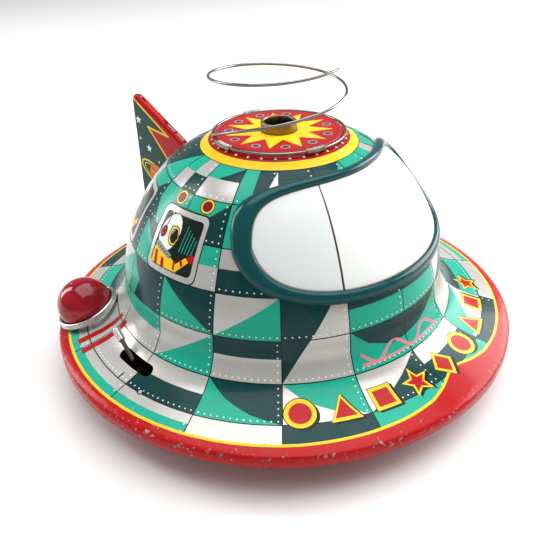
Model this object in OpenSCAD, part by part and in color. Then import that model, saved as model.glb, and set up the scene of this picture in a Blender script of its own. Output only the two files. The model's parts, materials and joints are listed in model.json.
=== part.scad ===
// Battery-operated tin flying saucer with an air nozzle, a ball-catching wire,
// a warning lamp, a tail fin and a swivelling front drive.
// Z is up, the wheels stand on z = 0, the windshield faces -Y, the fin is at +Y.

/* [Body] */
// Diameter over the rolled rim
rim_d = 205; // [200:1:250]
// Height of the rim's upper edge above the floor
rim_z = 19; // [19:0.5:24]
// Depth of the rolled rim band
rim_band = 5.5; // [4:0.5:7]
// Thickness of the tin sheet
sheet = 0.5; // [0.4:0.05:0.7]
// Largest radius of the dome, where it stands up from the brim
dome_r = 70.5; // [70:0.5:76]
// Height of the dome's shoulder above the rim
dome_foot = 22; // [20:0.5:25]
// Height of the dome's top edge above the rim
dome_h = 76; // [75:0.5:84]
// Radius of the dome's top edge, outside the yellow ring
crown_r = 33; // [32:0.5:36]
// Radius where the brim meets the fillet
brim_r = 88; // [86:0.5:92]
// Rise of the brim above the rim at that radius
brim_rise = 3.8; // [3:0.2:5]

/* [Base] */
// Height of the base pan's underside above the floor
pan_z = 7; // [6.5:0.25:9]
// Radius of the flat part of the base pan
pan_flat_r = 86; // [84:1:90]
// Radius of the hole that the swivelling drive looks through
turret_hole_r = 23; // [22.5:0.5:23.5]

/* [Windshield] */
// Half width of the frame's outline, seen from the front
glass_w = 53.5; // [50:0.5:56]
// Height of the frame's lower edge above the rim
glass_lo = 35.8; // [34:0.2:40]
// Height of the frame's widest place above the rim
glass_mid = 54; // [50:0.5:57]
// Height of the frame's upper edge above the rim
glass_hi = 74.4; // [73:0.2:75]
// Width of the raised frame
frame_w = 6; // [4:0.5:8]
// How far the frame stands proud of the dome
frame_h = 2.6; // [2.2:0.2:4]
// Angle of the seam between the two panes
pane_seam = -28; // [-35:0.5:-20]

/* [Fin] */
// Distance of the fin's rear edge from the axis
fin_reach = 98; // [90:0.5:99]
// Height of the fin's tip above the rim
fin_tip = 80; // [70:1:90]
// Thickness of the whole fin
fin_t = 5; // [4:0.5:7]

/* [Top] */
// Radius of the printed top disc
disc_r = 26; // [24:0.5:27]
// Height of the disc's face above the rim
disc_h = 80.8; // [79:0.2:88]
// Outer radius of the air nozzle
nozzle_r = 7.5; // [6:0.25:9]
// Bore radius of the air nozzle
nozzle_bore = 6.3; // [5:0.1:6.8]
// Height of the nozzle above the disc
nozzle_h = 4; // [2:0.5:8]
// Radius of the wire ring
wire_ring_r = 27.3; // [26.5:0.1:30]
// Radius of the wire itself
wire_r = 0.6; // [0.5:0.05:0.9]
// Height that the wire climbs above the disc
wire_rise = 28; // [20:1:36]

/* [Lamp] */
// Angle of the lamp from the front
lamp_at = -126.5; // [-132:0.5:-118]
// Distance of the lamp from the axis
lamp_r = 88.5; // [88:0.25:90]
// Radius of the red lens
lens_r = 12; // [10:0.25:12.5]
// Height of the red lens
lens_h = 15.5; // [12:0.5:18]
// Outward lean of the lamp
lamp_tilt = 20; // [16:1:24]

/* [Switch] */
// Angle of the switch slot from the front
switch_at = -94; // [-100:0.5:-90]
// Distance of the slot from the axis
slot_r = 81.5; // [81:0.25:83]
// Distance of the lever's pivot from the axis
pivot_r = 62; // [60:0.5:64]
// Swing of the lever from off to on
lever_swing = 28; // [20:1:30]

/* [Drive] */
// Gear module
gear_m = 0.8; // [0.75:0.05:0.8]
// Teeth on the motor pinion
motor_teeth = 10; // [10:1:11]
// Teeth on the reduction gear's large wheel
big_teeth = 40; // [38:1:41]
// Teeth on the reduction gear's small wheel
small_teeth = 12; // [12:1:13]
// Teeth on the gear of the upright shaft
shaft_teeth = 36; // [34:1:36]
// Radius of the drive tyres
tyre_r = 11; // [11:0.25:11.5]
// Radius of the rear wheels
rear_wheel_r = 9.5; // [9.5:0.25:10]
// Distance of the rear axle behind the axis
rear_axle_y = 77; // [76.5:0.25:78]
// Radius of the upright drive shaft
shaft_r = 2; // [1.5:0.1:2]

/* [Power] */
// Diameter of a cell
cell_d = 33; // [26:0.5:33]
// Length of a cell
cell_l = 61.5; // [49:0.5:61.5]
// Radius of the motor can
motor_r = 13; // [10:0.5:14]
// Length of the motor can
motor_l = 28; // [24:1:29]
// Radius of the blower impeller
impeller_r = 23; // [18:0.5:24]

/* [Hidden] */

// fits
run_fit = 0.05;
press_fit = 0.02;
seat_gap = 0.1;
side_gap = 0.3;
eps = 0.01;
round_fn = 64;

// profile of the body, as [radius, height above the rim]
fillet_steps = 7;
dome_steps = 14;
rim_r = rim_d / 2;
rim_nose = 0.7;
ring_r = crown_r - 3.9;
ring_rise = 2.2;
red_r = disc_r + 0.4;
red_rise = 1.2;
crown_hole_r = disc_r - 4;

function bez(p, t) =
    pow(1 - t, 3) * p[0] + 3 * pow(1 - t, 2) * t * p[1] + 3 * (1 - t) * t * t * p[2] + pow(t, 3) * p[3];
function bez_path(p, steps, from = 0) = [for (i = [from:steps]) bez(p, i / steps)];
function reversed(v) = [for (i = [len(v) - 1:-1:0]) v[i]];
function lifted(v, z) = [for (p = v) [p[0], p[1] + z]];
// Moves an open path sideways, to the right of its direction of travel.
function beside(pts, d) = [
    for (i = [0:len(pts) - 1])
        let (t = pts[min(i + 1, len(pts) - 1)] - pts[max(i - 1, 0)])
            pts[i] + d * [t[1], -t[0]] / norm(t)
];

fillet_path = bez_path([
    [brim_r, brim_rise], [brim_r - 12, brim_rise + 2.7], [dome_r, dome_foot - 9], [dome_r, dome_foot]
], fillet_steps);
dome_span = dome_h - dome_foot;
dome_path = bez_path([
    [dome_r, dome_foot], [dome_r - 1.5, dome_foot + dome_span * 0.37],
    [crown_r + 20, dome_h - dome_span * 0.1], [crown_r, dome_h]
], dome_steps, 1);
body_path = concat([[rim_r - rim_nose, 0]], fillet_path, dome_path,
    [[ring_r, dome_h + ring_rise], [red_r, dome_h + ring_rise + red_rise],
     [crown_hole_r, dome_h + ring_rise + red_rise]]);
band_path = [[rim_r - rim_nose, -rim_band], [rim_r, rim_nose - rim_band], [rim_r, -rim_nose]];
shell_path = concat(band_path, body_path);

// windshield outline, seen from the front; inset follows the slope of the dome
outline_steps = 9;
glass_foot_pull = [0.835, 1.09, 0.1];
glass_head_pull = [0.836, 0.95, 0.636];
glass_share = [0.79, 0.79, 0.4, 0.3];
function glass_half(inset) = let (
    w = glass_w - glass_share[0] * inset, lo = glass_lo + glass_share[1] * inset,
    mid = glass_mid + glass_share[2] * inset, hi = glass_hi - glass_share[3] * inset,
    a = glass_foot_pull, b = glass_head_pull
) concat(
    bez_path([[0, lo], [a[0] * w, lo], [a[1] * w, lo + a[2] * (mid - lo)], [w, mid]], outline_steps),
    bez_path([[w, mid], [b[0] * w, mid + b[1] * (hi - mid)], [b[2] * w, hi], [0, hi]], outline_steps, 1));
function glass_outline(inset) = let (h = glass_half(inset))
    concat(h, [for (i = [len(h) - 2:-1:1]) [-h[i][0], h[i][1]]]);
pane_tuck = 2;
pane_t = 0.6;
pane_gap = 0.2;
glass_arc = 170;

// fin
fin_front = 52;
fin_front_z = 57.5;
fin_foot = 2;
fin_wall = 0.6;
fin_split = 0.05;
fin_tip_w = 3;

// top
disc_lip = 1.3;
wire_sink = 1;
wire_z = rim_z + disc_h + wire_r - wire_sink;
wire_start = -127.5;
wire_flat = 350;
wire_turn = 495;
wire_step = 9;
wire_sides = 8;
wire_spring = 12.5;
wire_slope = 0.0337;
wire_settle = 65.7;
clip_gap = 0.2;
clip_r = wire_r + 0.65;
wire_at_r = max(wire_ring_r, disc_r + clip_r + run_fit);
clip_arc = 17;
clip_at = [-17, 158, -100];

// lamp
bezel_w = 1.7;
bezel_h = 3.4;
lens_wall = 0.8;
lamp_z = rim_z + 5;
bulb_r = 4.2;
bulb_len = 7;
socket_r = 5.4;
socket_depth = 8;
socket_wall = 0.5;
lamp_hole_r = socket_r + 0.4;

// switch
lever_z = rim_z - 1.4;
lever_t = 1;
lever_w = 4;
rod_r = 0.9;
rod_bend_z = rim_z + 6.2;
rod_lean = [-12.5, 0, 7.6];
lever_rest = -6;
slot_play = 2.5;
slot_half = (slot_r - pivot_r) * sin(lever_rest + lever_swing) + rod_r + slot_play;
slot_w = 5.4;
pivot_pin_r = 1.5;
post_r = 3;
ferrule_r = 1.7;
ferrule_l = 5.5;

// drive train
pa = 25;
tooth_add = 0.75;
tooth_ded = 1;
tooth_play = 0.1;
flank_steps = 4;
pinion_teeth = 12;
crown_teeth = 20;
mid_y = -(motor_teeth + big_teeth) * gear_m / 2;
turret_y = mid_y - (small_teeth + shaft_teeth) * gear_m / 2;
plate_t = 1;
plate_w = 24;
plate_front = turret_y - 23;
plate_lo_z = 28;
plate_hi_z = 44.5;
plate_lo_back = -4;
plate_hi_back = 22;
pillar_x = 20;
pillar_ys = [turret_y - 17.5, -8];
pillar_r = 2.5;
screw_r = 1.3;
screw_head_r = 2.4;
screw_head_h = 1.2;
gear_t = 3;
big_z = 38.8;
small_z = 32.8;
shaft_gear_z = 33.6;
motor_pinion_z = 38.3;
arbor_r = 1.5;
hub_r = 5.5;
turret_z = 24.6;
turret_r = 20;
turret_t = 1;
turret_top = 31;
clip_t = 0.8;
drive_pinion_z = 18.2;
drive_pinion_h = 4.6;
bracket_x = 7.8;
bracket_t = 1;
bracket_w = 12;
axle_r = 1.5;
crown_disc_t = 1.2;
crown_hub_r = 3.4;
crown_tooth_w = 0.8;
crown_tooth_l = 1.7;
crown_tooth_h = 1.6;
wheel_gap = 0.6;
wheel_w = 5;
wheel_rim_r = tyre_r - 3;
rear_axle_r = 1.25;
rear_wheel_x = 19.5;
rear_bracket_x = 14;
rear_bracket_l = 8;
rear_slot = 1;

// power
cell_r = cell_d / 2;
cell_x = cell_r + 0.7;
cell_y = -1;
cell_play = 0.3;
box_t = 0.6;
box_r = cell_r + cell_play + box_t;
box_y = cell_y - 2.2;
box_l = cell_l + 4.6;
cell_z = pan_z + sheet + cell_r + 0.9;
nub_r = 4;
nub_h = 1;
contact_t = 0.3;
spring_r = 5;
door_gap = 0.4;
door_w = box_r + cell_x + 0.8;
door_y0 = box_y + box_t;
door_y1 = box_y + box_l - box_t;
hinge_y = box_y + box_l + 1.9;
hinge_z = pan_z + 2.4;
hinge_r = 1.5;
hinge_pin_r = 0.8;
knuckle = 6;
lug_l = 5;

// motor and blower
motor_z = plate_hi_z + plate_t;
cap_t = 2.5;
motor_shaft_r = 1.2;
motor_shaft_lo = 37;
motor_shaft_hi = 90.5;
fan_floor = 78;
fan_wall = 0.6;
fan_r = impeller_r + 4;
fan_h = 13;
fan_eye = 9;
blade_n = 8;
blade_t = 0.8;
blade_h = 7;
impeller_z = 80.2;
impeller_plate = 0.8;
impeller_hub = 4;
cowl_z = fan_floor + fan_h;
collar_z = cowl_z + 5.8;
collar_h = 1.8;

// leads: points of the two routes
lead_r = 0.7;
lead_sides = 8;
lamp_lead_path = [[-66, 48, 17], [-63, 46, 13], [-58, 43, 10], [-50, 40, 9], [-43, 38, 10],
    [-38, 37, 13], [-36.2, 36.5, 18]];
motor_lead_path = [[-36.2, 24, 20], [-37, 22, 28], [-37, 19, 36], [-35, 15, 43], [-30, 11, 48],
    [-23, 7, 52], [-16, 4, 55], [-14, 3, 56]];

tin_teal = [0.05, 0.32, 0.34];
tin_red = [0.78, 0.1, 0.13];
steel = [0.7, 0.71, 0.73];
brass = [0.72, 0.6, 0.35];

// ---- helpers ----

// Turns a piece so that its -Y side faces an angle measured from the front.
module facing(at, r = 0, z = 0) {
    rotate([0, 0, at]) translate([0, -r, z]) children();
}

module tube(r_out, r_in, h) {
    difference() {
        cylinder(r = r_out, h = h, $fn = round_fn);
        translate([0, 0, -1]) cylinder(r = r_in, h = h + 2, $fn = round_fn);
    }
}

module along_x(x, y, z) {
    translate([x, y, z]) rotate([0, 90, 0]) children();
}

// Everything inside the body's skin, grown by a distance
module body_fill(grow) {
    path = beside(body_path, grow);
    top = path[len(path) - 1];
    edge = rim_r + grow;
    translate([0, 0, rim_z]) rotate_extrude($fn = round_fn)
        polygon(concat([[0, -rim_band], [edge, -rim_band], [edge, -rim_nose]], path, [[0, top[1]]]));
}

// One layer of sheet that follows the front of the dome, between two offsets
module dome_layer(inner, outer, arc) {
    path = concat([for (i = [3:fillet_steps]) fillet_path[i]], dome_path);
    translate([0, 0, rim_z]) rotate([0, 0, -90 - arc / 2]) rotate_extrude(angle = arc, $fn = round_fn)
        polygon(concat(beside(path, outer), reversed(beside(path, inner))));
}

module glass_prism(inset) {
    translate([0, 0, rim_z]) rotate([90, 0, 0]) linear_extrude(rim_r) polygon(glass_outline(inset));
}

// Involute gear outline with its first tooth centred on an angle
function tooth_half(n, r) = let (
    rp = n * gear_m / 2, rb = rp * cos(pa), a = acos(min(1, rb / r)), play = tooth_play / rp * 180 / PI
) 90 / n - play + (tan(pa) * 180 / PI - pa) - (tan(a) * 180 / PI - a);
function polar(r, a) = [r * cos(a), r * sin(a)];
function gear_outline(n, phase) = let (
    rp = n * gear_m / 2, rb = rp * cos(pa), root = rp - tooth_ded * gear_m,
    tip = rp + tooth_add * gear_m, from = max(root, rb) + eps
) [for (i = [0:n - 1]) let (c = phase + 360 * i / n) each concat(
    [polar(root, c - tooth_half(n, from))],
    [for (k = [0:flank_steps]) let (r = from + (tip - from) * k / flank_steps) polar(r, c - tooth_half(n, r))],
    [for (k = [flank_steps:-1:0]) let (r = from + (tip - from) * k / flank_steps) polar(r, c + tooth_half(n, r))],
    [polar(root, c + tooth_half(n, from))])];

module spur(n, phase, h, bore) {
    difference() {
        linear_extrude(h) polygon(gear_outline(n, phase));
        translate([0, 0, -1]) cylinder(r = bore, h = h + 2, $fn = round_fn);
    }
}

// Round wire swept along points; each ring stands across the path
function ring_dir(p, i) = let (v = p[min(i + 1, len(p) - 1)] - p[max(i - 1, 0)]) v / norm(v);
function ring_at(p, i, r, n, up) = let (
    d = ring_dir(p, i), s = cross(d, up), a = s / norm(s), b = cross(a, d)
) [for (k = [0:n - 1]) p[i] + r * (cos(360 * k / n) * a + sin(360 * k / n) * b)];
module swept(p, r, n, up = [0, 0, 1]) {
    pts = [for (i = [0:len(p) - 1]) each ring_at(p, i, r, n, up)];
    sides = [for (i = [0:len(p) - 2], k = [0:n - 1]) let (a = i * n + k, b = i * n + (k + 1) % n)
        [a, b, b + n, a + n]];
    polyhedron(pts, concat(sides, [[for (k = [n - 1:-1:0]) k]], [[for (k = [0:n - 1]) (len(p) - 1) * n + k]]));
}

// ---- body ----

module slot_cut() {
    facing(switch_at, slot_r, rim_z - 1) {
        cube([2 * slot_half - slot_w, slot_w, 30], center = true);
        for (s = [-1, 1]) translate([s * (slot_half - slot_w / 2), 0, -15])
            cylinder(r = slot_w / 2, h = 30, $fn = round_fn);
    }
}

module at_lamp(z) {
    facing(lamp_at, lamp_r, lamp_z) rotate([lamp_tilt, 0, 0]) translate([0, 0, z]) children();
}

module upper_shell() {
    color(tin_teal) difference() {
        translate([0, 0, rim_z]) rotate_extrude($fn = round_fn)
            polygon(concat(shell_path, reversed(beside(shell_path, -sheet))));
        glass_prism(frame_w + 1);
        slot_cut();
        at_lamp(-10) cylinder(r = lamp_hole_r, h = 12, $fn = round_fn);
    }
}

pan_path = [[rim_r - sheet - run_fit, -2], [rim_r - sheet - run_fit, rim_nose - rim_band + 1],
    [rim_r - 5, pan_z - rim_z + 4.5], [pan_flat_r, pan_z - rim_z]];
module base_pan() {
    color(tin_red) {
        difference() {
            translate([0, 0, rim_z]) rotate_extrude($fn = round_fn)
                polygon(concat(pan_path, [[0, pan_z - rim_z], [0, pan_z - rim_z + sheet]],
                    reversed(beside(pan_path, sheet))));
            translate([0, turret_y, 0]) cylinder(r = turret_hole_r, h = rim_z, $fn = round_fn);
            translate([-door_w, door_y0, 0]) cube([2 * door_w, door_y1 - door_y0, pan_z + 2]);
            translate([-knuckle - lug_l, door_y1 - eps, 0])
                cube([2 * (knuckle + lug_l), hinge_y + hinge_r + door_gap - door_y1, pan_z + 2]);
            translate([-knuckle - side_gap, door_y1 - eps, 0])
                cube([2 * (knuckle + side_gap), hinge_y + hinge_z - pan_z + 1.5 * door_gap - door_y1, pan_z + 2]);
            for (s = [-1, 1])
                translate([s * (rear_wheel_x + wheel_w / 2) - wheel_w / 2 - rear_slot,
                        rear_axle_y - rear_wheel_r - rear_slot, 0])
                    cube([wheel_w + 2 * rear_slot, 2 * (rear_wheel_r + rear_slot), rim_z]);
        }
        for (s = [-1, 1]) difference() {
            union() {
                along_x(s * (knuckle + lug_l / 2 + side_gap) - lug_l / 2, hinge_y, hinge_z)
                    cylinder(r = hinge_r, h = lug_l, $fn = round_fn);
                translate([s * (knuckle + lug_l / 2 + side_gap) - lug_l / 2, hinge_y, pan_z])
                    cube([lug_l, hinge_r + 1.2, hinge_z - pan_z]);
            }
            along_x(s * (knuckle + lug_l / 2) - lug_l, hinge_y, hinge_z)
                cylinder(r = hinge_pin_r + press_fit, h = 2 * lug_l, $fn = round_fn);
        }
    }
}

module top_disc() {
    color(tin_red) translate([0, 0, rim_z]) rotate_extrude($fn = round_fn) polygon([
        [nozzle_r + run_fit, disc_h - sheet], [nozzle_r + run_fit, disc_h], [disc_r - sheet, disc_h],
        [disc_r, disc_h - sheet], [disc_r, disc_h - disc_lip], [disc_r - sheet, disc_h - disc_lip],
        [disc_r - sheet, disc_h - 2 * sheet], [disc_r - 2 * sheet, disc_h - sheet]]);
}

module air_nozzle() {
    color(brass) translate([0, 0, collar_z + 0.4]) tube(nozzle_r, nozzle_bore, rim_z + disc_h + nozzle_h - collar_z - 0.4);
}

module windshield_frame() {
    color(tin_teal) union() {
        difference() {
            intersection() {
                dome_layer(pane_t + 2 * seat_gap, frame_h, glass_arc);
                glass_prism(0);
            }
            glass_prism(frame_w);
        }
        difference() {
            intersection() {
                dome_layer(seat_gap, pane_t + 2 * seat_gap + eps, glass_arc);
                glass_prism(0);
            }
            glass_prism(frame_w - pane_tuck - pane_gap);
        }
    }
}

// The part of the pane on one side of the seam
module pane(from, to) {
    intersection() {
        dome_layer(seat_gap, seat_gap + pane_t, glass_arc);
        glass_prism(frame_w - pane_tuck);
        rotate([0, 0, from - 90]) translate([0, 0, rim_z]) rotate_extrude(angle = to - from, $fn = round_fn)
            square([rim_r, disc_h]);
    }
}

module windshield_side_pane() {
    color("whitesmoke") pane(-glass_arc / 2, pane_seam);
}

module windshield_front_pane() {
    color("white") pane(pane_seam + pane_gap, glass_arc / 2);
}

fin_outline = [
    [fin_front, fin_front_z - 8], [fin_front, fin_front_z], [fin_reach - fin_tip_w - 1.5, fin_tip - 0.6],
    [fin_reach - fin_tip_w, fin_tip], [fin_reach - fin_tip_w + 1.6, fin_tip - 0.7],
    [fin_reach - fin_tip_w + 2.2, fin_tip - 3], [fin_reach, fin_foot + 18], [fin_reach, fin_foot - 2],
    [fin_reach - 30, fin_foot - 2]
];
module fin_half(side) {
    half = fin_t / 2 - fin_split;
    difference() {
        translate([side * fin_t / 4 + side * fin_split / 2, 0, rim_z]) rotate([90, 0, 90])
            linear_extrude(half, center = true) polygon(fin_outline);
        translate([side * (fin_split + (half - fin_wall) / 2), 0, rim_z]) rotate([90, 0, 90])
            linear_extrude(half - fin_wall + eps, center = true)
                polygon([[fin_front + 9, fin_front_z - 3], [fin_reach - 7, fin_tip - 9],
                    [fin_reach - 2.5, fin_foot + 16], [fin_reach - 2.5, fin_foot + 5],
                    [fin_reach - 20, fin_foot + 12]]);
        body_fill(seat_gap);
    }
}

module tail_fin_left() {
    color(tin_red) fin_half(-1);
}

module tail_fin_right() {
    color(tin_red) fin_half(1);
}

// ---- top ----

function wire_lift(u) = u <= 0 ? 0 : let (full = wire_rise / (wire_spring + wire_slope * wire_turn))
    full * (wire_spring * (1 - exp(-u / wire_settle)) + wire_slope * u);
wire_points = [for (u = [-wire_flat:wire_step:wire_turn])
    [wire_at_r * sin(wire_start + u), -wire_at_r * cos(wire_start + u), wire_z + wire_lift(u)]];

module ball_catcher_wire() {
    color("silver") swept(wire_points, wire_r, wire_sides);
}

module wire_clips() {
    color("gray") for (a = clip_at) rotate([0, 0, a - 90 - clip_arc / 2]) translate([0, 0, wire_z])
        rotate_extrude(angle = clip_arc, $fn = round_fn) difference() {
            union() {
                translate([wire_at_r, 0]) circle(r = clip_r, $fn = round_fn / 4);
                translate([disc_r - 2.2, rim_z + disc_h - wire_z + eps]) square([3.2, 0.4]);
            }
            translate([wire_at_r, 0]) circle(r = wire_r + clip_gap, $fn = round_fn / 4);
        }
}

// ---- lamp ----

module lamp_lens() {
    dome = lens_h - lens_r;
    color([0.75, 0.02, 0.08, 0.8]) difference() {
        at_lamp(0.6) difference() {
            union() {
                cylinder(r = lens_r, h = dome, $fn = round_fn);
                translate([0, 0, dome]) sphere(r = lens_r, $fn = round_fn);
            }
            translate([0, 0, -lens_r]) cylinder(r = 2 * lens_r, h = lens_r, $fn = round_fn);
            translate([0, 0, -1]) cylinder(r = lens_r - lens_wall, h = dome + 1, $fn = round_fn);
            translate([0, 0, dome]) sphere(r = lens_r - lens_wall, $fn = round_fn);
        }
        body_fill(seat_gap);
    }
}

module lamp_bezel() {
    color("silver") difference() {
        at_lamp(-2.4) tube(lens_r + bezel_w, lens_r + run_fit, bezel_h + 2.4);
        at_lamp(bezel_h / 2) rotate_extrude($fn = round_fn)
            translate([lens_r + bezel_w + 0.35, 0]) circle(r = 0.7, $fn = round_fn / 4);
        body_fill(seat_gap);
    }
}

module lamp_bulb() {
    color("ivory") at_lamp(1) {
        cylinder(r = bulb_r, h = bulb_len - bulb_r, $fn = round_fn);
        translate([0, 0, bulb_len - bulb_r]) sphere(r = bulb_r, $fn = round_fn);
    }
}

module lamp_socket() {
    color(brass) at_lamp(-socket_depth) {
        tube(socket_r, socket_r - socket_wall, socket_depth + 0.8);
        cylinder(r = socket_r, h = socket_wall, $fn = round_fn);
    }
}

// ---- switch ----

module rod(from, to, r) {
    v = to - from;
    translate(from) rotate([0, acos(v[2] / norm(v)), atan2(v[1], v[0])])
        cylinder(r = r, h = norm(v), $fn = round_fn);
}

rod_foot = [0, -(slot_r - pivot_r), lever_z + lever_t / 2];
rod_knee = [0, -(slot_r - pivot_r), rod_bend_z];
rod_tip = rod_knee + rod_lean;

// Moves a piece from the lever's own frame, with its pivot at the origin, into place
module at_lever() {
    facing(switch_at) translate([0, -pivot_r, 0]) rotate([0, 0, lever_rest]) children();
}

module switch_lever() {
    color("dimgray") at_lever() difference() {
        union() {
            translate([0, 0, lever_z]) cylinder(r = lever_w / 2 + 1.2, h = lever_t, $fn = round_fn);
            translate([-lever_w / 2, -(slot_r - pivot_r) - 2, lever_z])
                cube([lever_w, slot_r - pivot_r + 2, lever_t]);
            rod(rod_foot, rod_knee, rod_r);
            translate(rod_knee) sphere(r = rod_r, $fn = round_fn);
            rod(rod_knee, rod_tip, rod_r);
        }
        translate([0, 0, lever_z - 1]) cylinder(r = pivot_pin_r + run_fit, h = lever_t + 2, $fn = round_fn);
    }
}

module lever_ferrule() {
    back = ferrule_l * rod_lean / norm(rod_lean);
    color("silver") at_lever() difference() {
        rod(rod_tip - back, rod_tip + 0.1 * back, ferrule_r);
        rod(rod_tip - 1.2 * back, rod_tip + 0.0 * back, rod_r + press_fit);
    }
}

module switch_post() {
    color(steel) facing(switch_at, pivot_r, 0) {
        translate([0, 0, pan_z + sheet]) cylinder(r = post_r, h = lever_z - pan_z - sheet - seat_gap, $fn = round_fn);
        translate([0, 0, lever_z - 1]) cylinder(r = pivot_pin_r, h = lever_t + 1.4, $fn = round_fn);
        translate([0, 0, lever_z + lever_t + 0.2]) cylinder(r = post_r - 0.6, h = 0.6, $fn = round_fn);
    }
}

module switch_contact() {
    facing(switch_at, pivot_r, pan_z + sheet) color(brass) {
        translate([7, -4, 0]) cube([5, 8, contact_t]);
        translate([7, -4, 0]) cube([contact_t, 8, 5]);
    }
}

// ---- drive ----

module pillar_places() {
    for (s = [-1, 1], y = pillar_ys) translate([s * pillar_x, y, 0]) children();
}

module plate(back, z) {
    difference() {
        translate([-plate_w, plate_front, z]) cube([2 * plate_w, back - plate_front, plate_t]);
        pillar_places() translate([0, 0, z - 1]) cylinder(r = screw_r, h = plate_t + 2, $fn = round_fn);
        translate([0, mid_y, z - 1]) cylinder(r = arbor_r + press_fit, h = plate_t + 2, $fn = round_fn);
        children();
    }
}

module gear_plate_lower() {
    color(steel) plate(plate_lo_back, plate_lo_z)
        translate([0, turret_y, plate_lo_z - 1]) cylinder(r = hub_r + run_fit, h = plate_t + 2, $fn = round_fn);
}

module gear_plate_upper() {
    color(steel) plate(plate_hi_back, plate_hi_z) {
        translate([0, turret_y, plate_hi_z - 1]) cylinder(r = shaft_r + run_fit, h = plate_t + 2, $fn = round_fn);
        translate([0, 0, plate_hi_z - 1]) cylinder(r = motor_shaft_r + 1, h = plate_t + 2, $fn = round_fn);
    }
}

module lower_pillars() {
    color(steel) pillar_places() translate([0, 0, pan_z + sheet])
        tube(pillar_r, screw_r, plate_lo_z - pan_z - sheet);
}

module upper_pillars() {
    color(steel) pillar_places() translate([0, 0, plate_lo_z + plate_t])
        tube(pillar_r, screw_r, plate_hi_z - plate_lo_z - plate_t);
}

module plate_screws() {
    color("silver") pillar_places() translate([0, 0, plate_hi_z + plate_t]) {
        cylinder(r = screw_head_r, h = screw_head_h, $fn = round_fn);
        translate([0, 0, -8]) cylinder(r = screw_r - press_fit, h = 8 + eps, $fn = round_fn);
    }
}

module motor_can() {
    color(steel) translate([0, 0, motor_z]) tube(motor_r, motor_shaft_r + run_fit, motor_l);
}

module motor_end_cap() {
    color("dimgray") translate([0, 0, motor_z + motor_l]) tube(motor_r - 0.5, motor_shaft_r + run_fit, cap_t);
}

module motor_shaft() {
    color("silver") translate([0, 0, motor_shaft_lo]) cylinder(r = motor_shaft_r, h = motor_shaft_hi - motor_shaft_lo, $fn = round_fn);
}

module motor_pinion() {
    color(brass) translate([0, 0, motor_pinion_z]) spur(motor_teeth, -90, gear_t + 2, motor_shaft_r + press_fit);
}

module reduction_gear() {
    color(brass) translate([0, mid_y, 0]) {
        translate([0, 0, big_z]) spur(big_teeth, 90 + 180 / big_teeth, gear_t, arbor_r + run_fit);
        translate([0, 0, small_z]) spur(small_teeth, -90, big_z - small_z, arbor_r + run_fit);
    }
}

module gear_arbor() {
    color("silver") translate([0, mid_y, plate_lo_z]) cylinder(r = arbor_r, h = plate_hi_z + plate_t - plate_lo_z, $fn = round_fn);
}

module shaft_gear() {
    color(brass) translate([0, turret_y, shaft_gear_z]) spur(shaft_teeth, 90 + 180 / shaft_teeth, gear_t, shaft_r + press_fit);
}

module drive_shaft() {
    color("silver") translate([0, turret_y, drive_pinion_z])
        cylinder(r = shaft_r, h = plate_hi_z + plate_t - drive_pinion_z, $fn = round_fn);
}

module drive_pinion() {
    color(brass) translate([0, turret_y, drive_pinion_z])
        spur(pinion_teeth, 180 + 180 / pinion_teeth, drive_pinion_h, shaft_r + press_fit);
}

module turntable() {
    color(steel) translate([0, turret_y, 0]) difference() {
        union() {
            translate([0, 0, turret_z]) cylinder(r = turret_r, h = turret_t, $fn = round_fn);
            translate([0, 0, turret_z]) cylinder(r = hub_r, h = turret_top - turret_z, $fn = round_fn);
            for (s = [-1, 1]) translate([s * (bracket_x + bracket_t / 2) - bracket_t / 2, -bracket_w / 2, tyre_r - 4])
                cube([bracket_t, bracket_w, turret_z - tyre_r + 4 + eps]);
        }
        translate([0, 0, turret_z - 1]) cylinder(r = shaft_r + run_fit, h = turret_top, $fn = round_fn);
        along_x(-bracket_x - 2, 0, tyre_r) cylinder(r = axle_r + run_fit, h = 2 * bracket_x + 4, $fn = round_fn);
    }
}

module turntable_clip() {
    color("silver") translate([0, turret_y, plate_lo_z + plate_t + 0.3]) tube(hub_r + 2.2, hub_r + press_fit, clip_t);
}

wheel_x = bracket_x + bracket_t + wheel_gap;
module front_axle() {
    color("silver") along_x(-wheel_x - wheel_w, turret_y, tyre_r)
        cylinder(r = axle_r, h = 2 * (wheel_x + wheel_w), $fn = round_fn);
}

pinion_tip = pinion_teeth * gear_m / 2 + tooth_add * gear_m;
crown_face = pinion_tip + 0.4;
module crown_gear() {
    r = crown_teeth * gear_m / 2;
    color(brass) translate([0, turret_y, tyre_r]) difference() {
        union() {
            along_x(-crown_face - crown_disc_t, 0, 0) cylinder(r = r + crown_tooth_l / 2, h = crown_disc_t, $fn = round_fn);
            along_x(-crown_face - crown_disc_t, 0, 0) cylinder(r = crown_hub_r, h = crown_disc_t + 3, $fn = round_fn);
            for (i = [0:crown_teeth - 1]) rotate([360 * i / crown_teeth, 0, 0])
                translate([-crown_face - eps, -crown_tooth_w / 2, r - crown_tooth_l / 2])
                    cube([crown_tooth_h, crown_tooth_w, crown_tooth_l]);
        }
        along_x(-crown_face - 4, 0, 0) cylinder(r = axle_r + press_fit, h = 12, $fn = round_fn);
    }
}

module drive_wheel(side) {
    color("gold") along_x(side * (wheel_x + wheel_w / 2) - wheel_w / 2, turret_y, tyre_r)
        tube(wheel_rim_r, axle_r + press_fit, wheel_w);
}

module drive_tyre(side) {
    color("black") along_x(side * (wheel_x + wheel_w / 2) - wheel_w / 2, turret_y, tyre_r)
        tube(tyre_r, wheel_rim_r + press_fit, wheel_w);
}

module drive_wheel_left() {
    drive_wheel(-1);
}

module drive_wheel_right() {
    drive_wheel(1);
}

module drive_tyre_left() {
    drive_tyre(-1);
}

module drive_tyre_right() {
    drive_tyre(1);
}

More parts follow.
